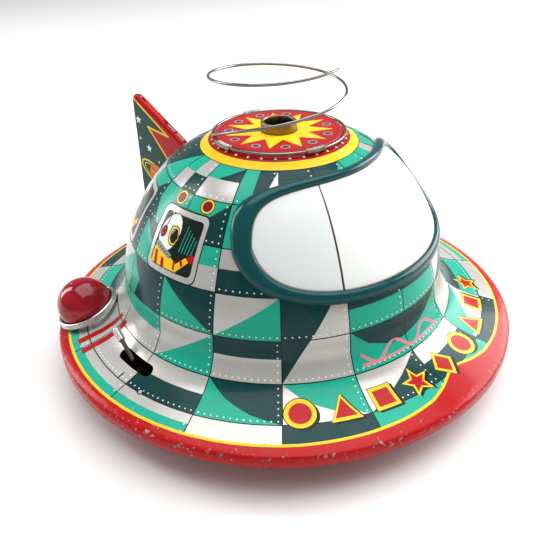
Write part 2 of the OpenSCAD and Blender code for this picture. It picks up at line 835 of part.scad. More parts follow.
module rear_axle() {
    reach = rear_wheel_x + wheel_w + 1;
    color("silver") along_x(-reach, rear_axle_y, rear_wheel_r) cylinder(r = rear_axle_r, h = 2 * reach, $fn = round_fn);
}

module rear_wheel(side) {
    color("black") along_x(side * (rear_wheel_x + wheel_w / 2) - wheel_w / 2, rear_axle_y, rear_wheel_r)
        tube(rear_wheel_r, rear_axle_r + press_fit, wheel_w);
}

module rear_wheel_left() {
    rear_wheel(-1);
}

module rear_wheel_right() {
    rear_wheel(1);
}

module rear_axle_brackets() {
    color(steel) for (s = [-1, 1]) difference() {
        union() {
            translate([s * (rear_bracket_x + bracket_t / 2) - bracket_t / 2, rear_axle_y - rear_bracket_l / 2, pan_z + sheet])
                cube([bracket_t, rear_bracket_l, rear_wheel_r + 3 - pan_z - sheet]);
            translate([s * (rear_bracket_x - 1) - 1.5, rear_axle_y - rear_bracket_l / 2, pan_z + sheet])
                cube([3, rear_bracket_l, bracket_t / 2]);
        }
        along_x(-rear_wheel_x, rear_axle_y, rear_wheel_r)
            cylinder(r = rear_axle_r + run_fit, h = 2 * rear_wheel_x, $fn = round_fn);
    }
}

// ---- power ----

module box_section(r) {
    for (s = [-1, 1]) translate([s * cell_x, cell_z]) {
        circle(r = r, $fn = round_fn);
        translate([-r, pan_z + sheet - cell_z]) square([2 * r, cell_z - pan_z - sheet]);
    }
}

module battery_box() {
    base = pan_z + sheet;
    color("silver") difference() {
        translate([0, box_y + box_l, 0]) rotate([90, 0, 0]) linear_extrude(box_l) box_section(box_r);
        translate([0, box_y + box_l - box_t, 0]) rotate([90, 0, 0]) linear_extrude(box_l - 2 * box_t) union() {
            box_section(box_r - box_t);
            translate([-cell_x, 0]) square([2 * cell_x, cell_z + 2]);
        }
        translate([-2 * cell_x, 0, 0]) cube([4 * cell_x, box_y + box_l - 2, base + eps]);
    }
}

module cell(side) {
    translate([side * cell_x, cell_y + cell_l - nub_h, cell_z]) rotate([90, 0, 0])
        cylinder(r = cell_r, h = cell_l - nub_h, $fn = round_fn);
    translate([side * cell_x, side > 0 ? cell_y + cell_l : cell_y + nub_h, cell_z]) rotate([90, 0, 0])
        cylinder(r = nub_r, h = 2 * nub_h, $fn = round_fn);
}

module battery_left() {
    color("royalblue") translate([0, nub_h / 2, 0]) cell(-1);
}

module battery_right() {
    color("royalblue") translate([0, -nub_h / 2, 0]) cell(1);
}

module battery_contacts_front() {
    color(brass) for (s = [-1, 1]) translate([s * cell_x, box_y + box_t + contact_t + eps, cell_z]) rotate([90, 0, 0])
        tube(spring_r, spring_r - 2, contact_t);
}

module battery_contact_rear() {
    color(brass) translate([-cell_x - 6, box_y + box_l - box_t - contact_t - eps, cell_z - 7])
        cube([2 * cell_x + 12, contact_t, 8.5]);
}

module battery_door() {
    color(tin_red) difference() {
        union() {
            translate([-door_w + door_gap, door_y0 + door_gap, pan_z])
                cube([2 * (door_w - door_gap), door_y1 - door_y0 - 2 * door_gap, sheet]);
            translate([-knuckle, door_y1 - door_gap - eps, pan_z])
                cube([2 * knuckle, hinge_y - door_y1 + door_gap + 0.5, sheet]);
            along_x(-knuckle, hinge_y, hinge_z) cylinder(r = hinge_r, h = 2 * knuckle, $fn = round_fn);
            translate([-knuckle, hinge_y - 0.8, pan_z]) cube([2 * knuckle, 1.6, hinge_z - pan_z]);
        }
        along_x(-knuckle - 1, hinge_y, hinge_z) cylinder(r = hinge_pin_r + run_fit, h = 2 * knuckle + 2, $fn = round_fn);
    }
}

module door_hinge_pin() {
    reach = knuckle + lug_l;
    color("silver") along_x(-reach, hinge_y, hinge_z) cylinder(r = hinge_pin_r, h = 2 * reach, $fn = round_fn);
}

// ---- blower ----

module blower_impeller() {
    color("dimgray") translate([0, 0, impeller_z]) difference() {
        union() {
            cylinder(r = impeller_r, h = impeller_plate, $fn = round_fn);
            cylinder(r = impeller_hub, h = impeller_plate + blade_h, $fn = round_fn);
            for (i = [0:blade_n - 1]) rotate([0, 0, 360 * i / blade_n]) translate([fan_eye - 1, -blade_t / 2, 0])
                rotate([0, 0, 20]) cube([(impeller_r - fan_eye) * 0.98, blade_t, impeller_plate + blade_h]);
        }
        translate([0, 0, -1]) cylinder(r = motor_shaft_r + press_fit, h = blade_h + 3, $fn = round_fn);
    }
}

module blower_housing() {
    color(steel) difference() {
        union() {
            translate([0, 0, fan_floor]) cylinder(r = fan_r, h = fan_h, $fn = round_fn);
            translate([0, 0, fan_floor - 3.6]) cylinder(r = motor_r + fan_wall, h = 3.6 + eps, $fn = round_fn);
        }
        translate([0, 0, fan_floor + fan_wall]) cylinder(r = fan_r - fan_wall, h = fan_h, $fn = round_fn);
        translate([0, 0, fan_floor - 4]) cylinder(r = motor_r - 0.5 + press_fit, h = 4, $fn = round_fn);
        translate([0, 0, fan_floor - 1]) cylinder(r = motor_shaft_r + 1, h = 3, $fn = round_fn);
        for (i = [0:5]) rotate([0, 0, 60 * i]) translate([fan_eye + 10, 0, fan_floor - 1])
            cylinder(r = 3, h = 3, $fn = round_fn);
    }
}

module blower_cowl() {
    color(steel) rotate_extrude($fn = round_fn) polygon([
        [fan_r, cowl_z], [fan_r, cowl_z + fan_wall], [nozzle_r + fan_wall, collar_z],
        [nozzle_r + fan_wall, collar_z + collar_h], [nozzle_r + press_fit, collar_z + collar_h],
        [nozzle_r + press_fit, collar_z], [nozzle_bore, collar_z], [nozzle_bore, collar_z - 0.4],
        [nozzle_r, collar_z - fan_wall], [fan_r - fan_wall, cowl_z]]);
}

module lamp_lead() {
    color("red") swept(lamp_lead_path, lead_r, lead_sides);
}

module motor_lead() {
    color("black") swept(motor_lead_path, lead_r, lead_sides, [1, 0, 0]);
}

upper_shell();
base_pan();
top_disc();
air_nozzle();
windshield_frame();
windshield_side_pane();
windshield_front_pane();
tail_fin_left();
tail_fin_right();
ball_catcher_wire();
wire_clips();
lamp_lens();
lamp_bezel();
lamp_bulb();
lamp_socket();
switch_lever();
lever_ferrule();
switch_post();
switch_contact();
gear_plate_lower();
gear_plate_upper();
lower_pillars();
upper_pillars();
plate_screws();
motor_can();
motor_end_cap();
motor_shaft();
motor_pinion();
blower_impeller();
blower_housing();
blower_cowl();
reduction_gear();
gear_arbor();
shaft_gear();
drive_shaft();
drive_pinion();
turntable();
turntable_clip();
front_axle();
crown_gear();
drive_wheel_left();
drive_wheel_right();
drive_tyre_left();
drive_tyre_right();
rear_axle();
rear_wheel_left();
rear_wheel_right();
rear_axle_brackets();
battery_box();
battery_left();
battery_right();
battery_contacts_front();
battery_contact_rear();
battery_door();
door_hinge_pin();
lamp_lead();
motor_lead();
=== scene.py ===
"""Tin flying saucer toy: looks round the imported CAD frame, with art laid out in millimetres and degrees."""

import json
import math

import bmesh
import bpy
import numpy as np
from mathutils import Matrix, Vector
from mathutils.geometry import delaunay_2d_cdt


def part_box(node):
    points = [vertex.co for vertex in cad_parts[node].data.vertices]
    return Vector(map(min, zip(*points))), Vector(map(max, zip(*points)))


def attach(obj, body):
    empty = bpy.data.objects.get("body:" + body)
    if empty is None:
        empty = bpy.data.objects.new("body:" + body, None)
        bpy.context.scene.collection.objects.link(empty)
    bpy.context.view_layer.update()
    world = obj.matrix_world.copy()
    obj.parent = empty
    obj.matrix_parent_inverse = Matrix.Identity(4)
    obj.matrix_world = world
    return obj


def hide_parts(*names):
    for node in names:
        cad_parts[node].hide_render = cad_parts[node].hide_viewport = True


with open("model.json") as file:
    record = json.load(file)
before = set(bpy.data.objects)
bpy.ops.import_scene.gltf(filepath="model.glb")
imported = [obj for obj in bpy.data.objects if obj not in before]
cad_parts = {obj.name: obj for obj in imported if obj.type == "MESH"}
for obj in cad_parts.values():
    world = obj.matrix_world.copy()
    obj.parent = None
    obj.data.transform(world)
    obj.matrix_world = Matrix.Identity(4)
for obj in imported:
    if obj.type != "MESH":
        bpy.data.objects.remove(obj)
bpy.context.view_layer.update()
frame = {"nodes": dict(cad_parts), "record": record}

MM = 0.001


# ---------------------------------------------------------------- camera, floor and light

CAM_TURN = math.radians(-47.5)
CAM_YAW = 0.013
CAM_PITCH = 0.544
CAM_ROLL = -0.030
CAM_BACK = 0.26116
CAM_UP = 0.18799
CAM_LENS = 42.89


def about_z(angle):
    return Matrix.Rotation(angle, 3, "Z")


def add_camera():
    """A level turn about the saucer's axis, then yaw, pitch and roll of the camera itself."""
    turn = about_z(CAM_TURN)
    forward = turn @ about_z(CAM_YAW) @ Vector((0, math.cos(CAM_PITCH), -math.sin(CAM_PITCH)))
    right = turn @ about_z(CAM_YAW) @ Vector((1, 0, 0))
    up = right.cross(forward)
    side = math.cos(CAM_ROLL) * right + math.sin(CAM_ROLL) * up
    top = math.cos(CAM_ROLL) * up - math.sin(CAM_ROLL) * right
    data = bpy.data.cameras.new("camera")
    data.lens = CAM_LENS
    data.sensor_width = 36
    data.clip_start = 0.01
    data.clip_end = 20
    camera = bpy.data.objects.new("camera", data)
    axes = Matrix((side, top, -forward)).transposed().to_4x4()
    camera.matrix_world = Matrix.Translation(turn @ Vector((0, -CAM_BACK, CAM_UP))) @ axes
    bpy.context.scene.collection.objects.link(camera)
    bpy.context.scene.camera = camera


def add_softbox(name, place, size, power):
    """An area light at a place given as seen from the camera (right, away, up), aimed at the saucer."""
    data = bpy.data.lights.new(name, "AREA")
    data.shape = "RECTANGLE"
    data.size, data.size_y = size
    data.energy = power
    lamp = bpy.data.objects.new(name, data)
    at = about_z(CAM_TURN) @ Vector(place)
    lamp.location = at
    lamp.rotation_euler = (Vector((0, 0, 0.05)) - at).to_track_quat("-Z", "Y").to_euler()
    bpy.context.scene.collection.objects.link(lamp)


def add_room():
    bpy.ops.mesh.primitive_plane_add(size=12)
    floor = bpy.context.object
    floor.name = "floor"
    paper = bpy.data.materials.new("floor_paper")
    paper.use_nodes = True
    shader = paper.node_tree.nodes["Principled BSDF"]
    shader.inputs["Base Color"].default_value = (0.78, 0.79, 0.78, 1)
    shader.inputs["Roughness"].default_value = 0.55
    floor.data.materials.append(paper)
    world = bpy.data.worlds.new("studio")
    world.use_nodes = True
    world.node_tree.nodes["Background"].inputs["Color"].default_value = (1, 1, 1, 1)
    world.node_tree.nodes["Background"].inputs["Strength"].default_value = 0.4
    bpy.context.scene.world = world
    add_softbox("top_light", (0.1, 0.1, 1.3), (1.4, 1.4), 19)
    add_softbox("right_light", (0.95, 0.45, 0.55), (0.9, 0.7), 15)
    add_softbox("left_light", (-0.9, 0.35, 0.45), (0.25, 0.8), 5)
    bpy.context.scene.view_settings.view_transform = "Standard"


add_camera()
add_room()


# ---------------------------------------------------------------- materials

def srgb(code):
    """Linear colour from a hex code."""
    parts = [int(code[i:i + 2], 16) / 255 for i in (0, 2, 4)]
    return tuple(c / 12.92 if c < 0.04045 else ((c + 0.055) / 1.055) ** 2.4 for c in parts) + (1.0,)


class Look:
    """A Principled material with small helpers for its nodes."""

    def __init__(self, name, colour, roughness, metallic=0.0, coat=0.0, **sockets):
        self.mat = bpy.data.materials.new(name)
        self.mat.use_nodes = True
        self.nodes = self.mat.node_tree.nodes
        self.links = self.mat.node_tree.links
        self.shader = self.nodes["Principled BSDF"]
        self.set("Base Color", colour)
        self.set("Roughness", roughness)
        self.set("Metallic", metallic)
        self.set("Coat Weight", coat)
        for socket, value in sockets.items():
            self.set(socket.replace("_", " "), value)
        self.space = self.nodes.new("ShaderNodeTexCoord").outputs["Object"]

    def set(self, socket, value):
        self.shader.inputs[socket].default_value = value

    def link(self, output, socket):
        self.links.new(output, self.shader.inputs[socket])

    def node(self, kind, inputs=None, **settings):
        """A new node with its settings; each input named or numbered is set, or linked to an output."""
        made = self.nodes.new(kind)
        for key, value in settings.items():
            setattr(made, key, value)
        for socket, value in (inputs or {}).items():
            if isinstance(value, bpy.types.NodeSocket):
                self.links.new(value, made.inputs[socket])
            else:
                made.inputs[socket].default_value = value
        return made

    def noise(self, scale, detail=4, stretch=(1, 1, 1), rough=0.55):
        """Noise in object space; scale counts features per metre."""
        mapping = self.node("ShaderNodeMapping", {"Scale": stretch, "Vector": self.space})
        texture = self.node("ShaderNodeTexNoise", {"Scale": scale, "Detail": detail, "Roughness": rough,
                                                   "Vector": mapping.outputs["Vector"]})
        return texture.outputs["Fac"]

    def ramp(self, value, low, high, out=(0.0, 1.0)):
        """Maps low..high of value to out, clamped."""
        made = self.node("ShaderNodeMapRange", {"Value": value, "From Min": low, "From Max": high,
                                                "To Min": out[0], "To Max": out[1]})
        return made.outputs["Result"]

    def math(self, operation, a, b):
        return self.node("ShaderNodeMath", {0: a, 1: b}, operation=operation).outputs[0]

    def mix(self, factor, a, b):
        """Colour a, with b over it by factor; each is a colour or an output."""
        return self.node("ShaderNodeMix", {0: factor, 6: a, 7: b}, data_type="RGBA").outputs[2]

    def attribute(self, name, output="Fac"):
        return self.node("ShaderNodeAttribute", attribute_name=name).outputs[output]

    def bump(self, height, distance, strength=1.0):
        made = self.node("ShaderNodeBump", {"Distance": distance, "Strength": strength, "Height": height})
        self.link(made.outputs["Normal"], "Normal")


def toned(colour, gain, lift=0.0):
    """A colour made darker or lighter."""
    return tuple(min(1, c * gain + lift) for c in colour[:3]) + (1.0,)


RUST = srgb("4a2a1c")
BARE_TIN = srgb("a7a49c")


def litho_look(name, wear=1.0):
    """Printed tinplate: ink colours and bare tin from the mesh, gloss lacquer, chips and grime."""
    look = Look(name, srgb("0d6e68"), 0.25, coat=0.08, Coat_Roughness=0.05, Specular_IOR_Level=0.14)
    ink = look.attribute("ink", "Color")
    bare = look.attribute("bare")
    edge = look.attribute("edge")
    grime = look.ramp(look.noise(90, 5), 0.45, 0.8, (0.0, 0.1 * wear))
    dirty = look.mix(grime, ink, srgb("6d5f4c"))
    chip = look.ramp(look.math("ADD", look.noise(420, 6, rough=0.7), look.math("MULTIPLY", edge, 0.13)),
                     0.77 - 0.08 * wear, 0.795 - 0.08 * wear)
    rust = look.mix(look.ramp(look.noise(700, 3), 0.4, 0.6), RUST, BARE_TIN)
    look.link(look.mix(chip, dirty, rust), "Base Color")
    look.link(look.math("MULTIPLY", bare, look.ramp(look.noise(60, 3), 0.3, 0.7, (0.28, 0.36))), "Metallic")
    look.link(look.ramp(look.noise(160, 5), 0.3, 0.75, (0.2, 0.3)), "Roughness")
    fine = look.math("MULTIPLY", look.noise(900, 3), 0.015)
    look.bump(look.math("ADD", look.noise(38, 2), fine), 0.0006, 0.09)
    return look.mat


def enamel_look(name, colour, worn=0.0, roughness=0.2):
    """Gloss enamel on tin, with orange peel, fine scratches, grime and chips down to rust."""
    look = Look(name, colour, roughness, coat=0.12, Coat_Roughness=0.05, Specular_IOR_Level=0.2)
    shade = toned(colour, 0.7)
    uneven = look.mix(look.ramp(look.noise(55, 5), 0.35, 0.75, (0.0, 0.35)), colour, shade)
    scratch = look.ramp(look.noise(260, 4, stretch=(1, 6, 1)), 0.7 - 0.05 * worn, 0.74)
    scratched = look.mix(scratch, uneven, toned(colour, 1.25, 0.03))
    chip = look.ramp(look.noise(330, 6, rough=0.7), 0.72 - 0.06 * worn, 0.735 - 0.06 * worn)
    look.link(look.mix(chip, scratched, RUST), "Base Color")
    look.link(look.ramp(look.noise(140, 4), 0.3, 0.8, (roughness * 0.7, roughness * 1.7)), "Roughness")
    look.bump(look.math("SUBTRACT", look.noise(420, 3), look.math("MULTIPLY", chip, 0.6)), 0.0001, 0.5)
    return look.mat


def metal_look(name, colour, roughness, grain=(1, 1, 1), tarnish=0.25):
    """Bare or plated metal with drawn grain and patches of tarnish."""
    look = Look(name, colour, roughness, metallic=1.0)
    dull = toned(colour, 0.45)
    patches = look.ramp(look.noise(240, 6), 0.45, 0.8, (0.0, tarnish * 2))
    look.link(look.mix(patches, colour, dull), "Base Color")
    spread = (roughness * 0.7, roughness * 1.6)
    look.link(look.ramp(look.noise(500, 5, grain), 0.3, 0.75, spread), "Roughness")
    look.bump(look.noise(1600, 3, grain), 0.00004, 0.6)
    return look.mat


def plastic_look(name, colour, roughness, texture=0.3):
    """Moulded plastic or rubber with a fine grain and handling marks."""
    look = Look(name, colour, roughness)
    lighter = toned(colour, 1.5, 0.012)
    look.link(look.mix(look.ramp(look.noise(300, 5), 0.5, 0.8, (0.0, 0.5)), colour, lighter), "Base Color")
    spread = (roughness * 0.8, min(1, roughness * 1.3))
    look.link(look.ramp(look.noise(180, 4), 0.3, 0.8, spread), "Roughness")
    look.bump(look.noise(2600, 3), 0.00006, texture)
    return look.mat


def lens_look():
    """Red translucent lens, with swirls in the moulding and small scratches."""
    look = Look("lens_red", srgb("a3001c"), 0.06, coat=0.1, Coat_Roughness=0.03, Specular_IOR_Level=0.35)
    look.set("Transmission Weight", 0.12)
    look.set("Subsurface Weight", 0.15)
    look.set("Subsurface Radius", (0.006, 0.001, 0.001))
    look.link(look.mix(look.ramp(look.noise(120, 3), 0.4, 0.7), srgb("b00020"), srgb("7c0012")), "Base Color")
    look.link(look.ramp(look.noise(500, 5), 0.5, 0.85, (0.05, 0.14)), "Roughness")
    look.bump(look.noise(700, 3), 0.00005, 0.4)
    return look.mat


def glass_look():
    look = Look("bulb_glass", (0.96, 0.94, 0.88, 1), 0.03, IOR=1.5)
    look.set("Transmission Weight", 1.0)
    look.bump(look.noise(500, 2), 0.00003, 0.5)
    return look.mat


def cell_look():
    """A plain printed cell sleeve: dark blue with a gold-coloured band near one end."""
    look = Look("cell_wrap", srgb("18315f"), 0.3, coat=0.4)
    split = look.node("ShaderNodeSeparateXYZ", {0: look.space})
    offset = look.math("ADD", split.outputs["Y"], 0.018)
    band = look.math("LESS_THAN", look.math("ABSOLUTE", offset, 0), 0.006)
    look.link(look.mix(band, srgb("18315f"), srgb("c9b26a")), "Base Color")
    look.link(look.ramp(look.noise(200, 4), 0.3, 0.8, (0.24, 0.5)), "Roughness")
    look.bump(look.noise(900, 3), 0.00004, 0.4)
    return look.mat


LITHO = litho_look("litho")
PANE_TIN = litho_look("pane_tin", wear=0.1)
DISC_TIN = litho_look("disc_tin", wear=0.6)
RED_TIN = enamel_look("red_tin", srgb("ab0c16"), worn=0.6)
TEAL_TIN = enamel_look("teal_tin", srgb("034649"), worn=0.1, roughness=0.14)
WHITE_TIN = enamel_look("white_tin", srgb("e9e8e2"), roughness=0.2)
CHROME = metal_look("chrome", srgb("c9c8c6"), 0.16)
STEEL = metal_look("steel", srgb("9b9b9b"), 0.3, grain=(1, 8, 1))
DARK_STEEL = metal_look("dark_steel", srgb("4a4744"), 0.35)
BRASS = metal_look("brass", srgb("96835f"), 0.36, tarnish=0.5)
BLACK_PLASTIC = plastic_look("black_plastic", srgb("1c1c1d"), 0.45)
RUBBER = plastic_look("rubber", srgb("161616"), 0.75, texture=0.7)
LENS = lens_look()
BY_SLOT = {
    "litho_tin": RED_TIN,
    "red_tin": RED_TIN,
    "teal_tin": TEAL_TIN,
    "white_tin": WHITE_TIN,
    "chrome": CHROME,
    "red_lens": LENS,
    "bulb_glass": glass_look(),
    "brass": BRASS,
    "dark_steel": DARK_STEEL,
    "steel": STEEL,
    "black_plastic": BLACK_PLASTIC,
    "rubber": RUBBER,
    "cell_wrap": cell_look(),
    "lead_cover": plastic_look("lead_cover", srgb("8e1a1a"), 0.4, texture=0.2),
}


WIRE = metal_look("sprung_wire", srgb("8b8884"), 0.2)
SLEEVE = metal_look("sleeve", srgb("aaa49a"), 0.32, tarnish=0.5)
BODY_OF = {node: body for body, nodes in frame["record"]["behaviour"]["bodies"].items() for node in nodes}


def dress_cad_nodes():
    """Every CAD node takes the material of its slot."""
    for part in frame["record"]["subparts"]:
        node = frame["nodes"][part["node"]]
        node.data.materials.clear()
        node.data.materials.append(BY_SLOT[part["material_slot"]])


dress_cad_nodes()


# ---------------------------------------------------------------- mesh helpers

def bezier(points, steps, skip=0):
    """Points along a cubic curve, leaving out the first few."""
    p = np.array(points, float)
    t = np.linspace(0, 1, steps + 1)[skip:, None]
    return (1 - t) ** 3 * p[0] + 3 * (1 - t) ** 2 * t * p[1] + 3 * (1 - t) * t * t * p[2] + t ** 3 * p[3]


def add_piece(name, mesh, body, slot, material, *nodes):
    """Links a mesh as a piece that rides on a body and stands for CAD nodes."""
    piece = bpy.data.objects.new(name, mesh)
    bpy.context.scene.collection.objects.link(piece)
    if material is not None:
        mesh.materials.append(material)
    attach(piece, body)
    if nodes:
        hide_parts(*nodes)
    return piece


def mesh_of(name, points, faces):
    """A mesh in metres from points in millimetres."""
    mesh = bpy.data.meshes.new(name)
    mesh.from_pydata([tuple(MM * c for c in p) for p in points], [], [tuple(f) for f in faces])
    mesh.validate()
    work = bmesh.new()
    work.from_mesh(mesh)
    bmesh.ops.recalc_face_normals(work, faces=work.faces)
    work.to_mesh(mesh)
    work.free()
    mesh.shade_smooth()
    return mesh


def circle(radius, sides):
    """Points round a circle, from the x axis on."""
    turn = np.linspace(0, 2 * math.pi, sides, endpoint=False)
    return [(radius * math.cos(a), radius * math.sin(a)) for a in turn]


def ring_faces(rings, around, closed_rings=False):
    """Quads between rings of points; closed_rings also joins the last ring to the first."""
    count = rings if closed_rings else rings - 1
    return [
        (i * around + j, i * around + (j + 1) % around,
         (i + 1) % rings * around + (j + 1) % around, (i + 1) % rings * around + j)
        for i in range(count) for j in range(around)
    ]


def lathe(profile, around=96):
    """A closed solid turned from a closed loop of (r, z) points about Z, counter-clockwise in r and z."""
    turn = np.linspace(0, 2 * math.pi, around, endpoint=False)
    points = [(r * math.cos(a), r * math.sin(a), z) for r, z in profile for a in turn]
    return points, ring_faces(len(profile), around, closed_rings=True)


def tube(path, radii, around=14):
    """Points and faces of a round bar along a path, with closed ends."""
    path = np.array(path, float)
    ahead = np.gradient(path, axis=0)
    ahead /= np.linalg.norm(ahead, axis=1)[:, None]
    side = np.cross(ahead, (0, 0, 1))
    side /= np.linalg.norm(side, axis=1)[:, None]
    up = np.cross(side, ahead)
    turn = np.linspace(0, 2 * math.pi, around, endpoint=False)[None, :, None]
    out = np.cos(turn) * side[:, None] + np.sin(turn) * up[:, None]
    rings = path[:, None] + np.array(radii)[:, None, None] * out
    last = (len(path) - 1) * around
    caps = [tuple(range(around)), tuple(last + i for i in range(around))]
    return rings.reshape(-1, 3), ring_faces(len(path), around) + caps


def moved(points, place):
    """Points in millimetres through a 4x4 matrix."""
    matrix = np.array(place)
    return np.array(points, float) @ matrix[:3, :3].T + matrix[:3, 3]


def inside(loop, x, y):
    """Which of the points (x, y) lie inside a closed loop."""
    found = np.zeros(len(x), bool)
    ends = np.roll(loop, -1, axis=0)
    for (x0, y0), (x1, y1) in zip(loop, ends):
        if y0 == y1:
            continue
        crosses = (y0 > y) != (y1 > y)
        found ^= crosses & (x < (x1 - x0) * (y - y0) / (y1 - y0) + x0)
    return found


def split_edges(loop, step):
    """The loop with extra points, so that no edge is longer than a step."""
    out = []
    for (x0, y0), (x1, y1) in zip(loop, loop[1:] + loop[:1]):
        count = max(1, math.ceil(math.hypot(x1 - x0, y1 - y0) / step))
        out += [(x0 + (x1 - x0) * i / count, y0 + (y1 - y0) * i / count) for i in range(count)]
    return out


def print_sheet(boundary, holes, shapes, grid, step=7.0):
    """Cuts a flat sheet so that every printed edge is an edge of the mesh.
    shapes is a list of (ink, loop), later ones on top. Returns points, triangles and each triangle's ink."""
    points, edges = [], []
    for loop in [boundary] + list(holes) + [loop for _, loop in shapes]:
        loop = split_edges(list(loop), step)
        first = len(points)
        points.extend(Vector((float(p[0]), float(p[1]))) for p in loop)
        edges.extend((first + i, first + (i + 1) % len(loop)) for i in range(len(loop)))
    points.extend(Vector((float(p[0]), float(p[1]))) for p in grid)
    cut = delaunay_2d_cdt(points, edges, [], 0, 1e-4)
    flat = np.array([tuple(p) for p in cut[0]])
    tris = np.array(cut[2])
    centre = flat[tris].mean(axis=1)
    x, y = centre[:, 0], centre[:, 1]
    keep = inside(np.array(boundary), x, y)
    for hole in holes:
        keep &= ~inside(np.array(hole), x, y)
    tris, x, y = tris[keep], x[keep], y[keep]
    ink = np.zeros(len(tris), int)
    for number, loop in shapes:
        loop = np.array(loop)
        low, high = loop.min(axis=0), loop.max(axis=0)
        near = np.nonzero((x > low[0]) & (x < high[0]) & (y > low[1]) & (y < high[1]))[0]
        if len(near):
            ink[near[inside(loop, x[near], y[near])]] = number
    return flat, tris, ink


def printed_solid(name, points, normals, tris, ink, thickness, edge=None):
    """A closed sheet of metal with its ink on the outside, from outer points (mm) with normals."""
    keys = np.round(points, 3)
    _, first, back = np.unique(keys, axis=0, return_index=True, return_inverse=True)
    back = back.reshape(-1)
    points, normals = points[first], normals[first]
    edge = np.zeros(len(points)) if edge is None else edge[first]
    tris = back[tris]
    good = (tris[:, 0] != tris[:, 1]) & (tris[:, 1] != tris[:, 2]) & (tris[:, 2] != tris[:, 0])
    tris, ink = tris[good], ink[good]
    corners = points[tris]
    face_normal = np.cross(corners[:, 1] - corners[:, 0], corners[:, 2] - corners[:, 0])
    flip = (face_normal * normals[tris].sum(axis=1)).sum(axis=1) < 0
    tris[flip] = tris[flip][:, ::-1]
    count = len(points)
    sides = np.concatenate([tris[:, [0, 1]], tris[:, [1, 2]], tris[:, [2, 0]]])
    forward = {(int(a), int(b)) for a, b in sides}
    rims = [(a, b) for a, b in forward if (b, a) not in forward]
    all_points = np.concatenate([points, points - thickness * normals])
    faces = [tuple(t) for t in tris.tolist()]
    faces += [tuple(t) for t in (tris[:, ::-1] + count).tolist()]
    faces += [(b, a, a + count, b + count) for a, b in rims]
    mesh = bpy.data.meshes.new(name)
    mesh.from_pydata((all_points * MM).tolist(), [], faces)
    used = np.zeros(len(all_points), bool)
    used[np.concatenate([tris.ravel(), tris.ravel() + count])] = True
    inner = list(INKS).index("inside")
    number = np.concatenate([ink, np.full(len(tris), inner), np.full(len(rims), inner)])
    sizes = np.array([3] * (2 * len(tris)) + [4] * len(rims))
    palette = np.array([srgb(code) for code, _ in INKS.values()])
    bare = np.array([metal for _, metal in INKS.values()])
    colours = mesh.color_attributes.new("ink", "FLOAT_COLOR", "CORNER")
    colours.data.foreach_set("color", np.repeat(palette[number], sizes, axis=0).astype(np.float32).ravel())
    shine = mesh.attributes.new("bare", "FLOAT", "FACE")
    shine.data.foreach_set("value", bare[number].astype(np.float32))
    worn = mesh.attributes.new("edge", "FLOAT", "POINT")
    worn.data.foreach_set("value", np.concatenate([edge, edge * 0]).astype(np.float32))
    mesh.shade_smooth()
    mesh.normals_split_custom_set_from_vertices(np.concatenate([normals, -normals]).tolist())
    return mesh


# ---------------------------------------------------------------- inks

INKS = {
    "dark": ("00393a", 0.0),
    "green": ("18a68b", 0.0),
    "silver": ("bfbdb8", 1.0),
    "red": ("b0060f", 0.0),
    "deep_red": ("7d1024", 0.0),
    "yellow": ("f2c61d", 0.0),
    "white": ("e8ecea", 0.0),
    "black": ("0a1413", 0.0),
    "night": ("0c1a18", 0.0),
    "pink": ("d9808c", 0.0),
    # The two pane whites are one white enamel: the side pane's is painted a little darker as shade, the front
    # pane's lighter as lit by the light from the right.
    "pane": ("e4e7e7", 0.0),
    "pane_front_lit": ("eceeec", 0.0),
    "brown": ("4b3a2c", 0.0),
    "stain": ("c2ab83", 0.0),
    "orange": ("dd7a22", 0.0),
    "grey": ("8c9490", 0.2),
    "field": ("0c4039", 0.0),
    "inside": ("8f8d86", 1.0),
}
INK = {name: i for i, name in enumerate(INKS)}


# ---------------------------------------------------------------- the shell's shape

BAND = 5.5
NOSE = 0.7
RIM_R = 102.5
SHEET = 0.5
RIM_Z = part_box("upper_shell")[0][2] / MM + BAND
DOME_FOOT = (70.5, 22)
CROWN = (33, 76)
BRIM = bezier([(88, 3.8), (76, 6.5), (70.5, 13), DOME_FOOT], 14)
DOME = bezier([DOME_FOOT, (69, 22 + 54 * 0.37), (53, 76 - 5.4), CROWN], 36, 1)
EDGE = [(RIM_R - NOSE, -BAND), (RIM_R, -BAND + NOSE), (RIM_R, -NOSE), (RIM_R - NOSE, 0)]
PROFILE = np.concatenate([EDGE, BRIM, DOME, [(29.1, 78.2), (26.4, 79.4), (22, 79.4)]])
ALONG = np.concatenate([[0], np.cumsum(np.hypot(*np.diff(PROFILE, axis=0).T))])
SCALE = 1.4


def on_profile(s):
    """Radius and height above the rim at a length s along the profile from the rim's lower edge."""
    return np.interp(s, ALONG, PROFILE[:, 0]), np.interp(s, ALONG, PROFILE[:, 1])


def s_at_height(z):
    return float(np.interp(z, PROFILE[3:-2, 1], ALONG[3:-2]))


def s_at_radius(r):
    """Length along the profile to a radius, anywhere inside the rim's edge."""
    return float(np.interp(-r, -PROFILE[3:, 0], ALONG[3:]))


def profile_normal(s, reach=0.5):
    """Outward normal in (r, z), rounded over the profile's corners."""
    r0, z0 = on_profile(np.maximum(s - reach, 0))
    r1, z1 = on_profile(np.minimum(s + reach, ALONG[-1]))
    length = np.maximum(np.hypot(r1 - r0, z1 - z0), 1e-9)
    return (z1 - z0) / length, -(r1 - r0) / length


def on_shell(theta, s, lift=0.0):
    """Points in millimetres and normals for arrays of angle (degrees) and profile length."""
    r, z = on_profile(s)
    nr, nz = profile_normal(s)
    a = np.radians(theta)
    out = np.stack([nr * np.sin(a), -nr * np.cos(a), nz], axis=-1)
    at = np.stack([r * np.sin(a), -r * np.cos(a), z + RIM_Z], axis=-1)
    return at + out * lift, out


def flat_loop(loop):
    """Art points (angle in degrees, profile length) in the sheet's flat coordinates."""
    return [(SCALE * t, s) for t, s in loop]


def per_mm(s):
    """Degrees of turn in one millimetre along the circle at profile length s."""
    return 180 / math.pi / float(on_profile(s)[0])


# ---------------------------------------------------------------- the shell's art

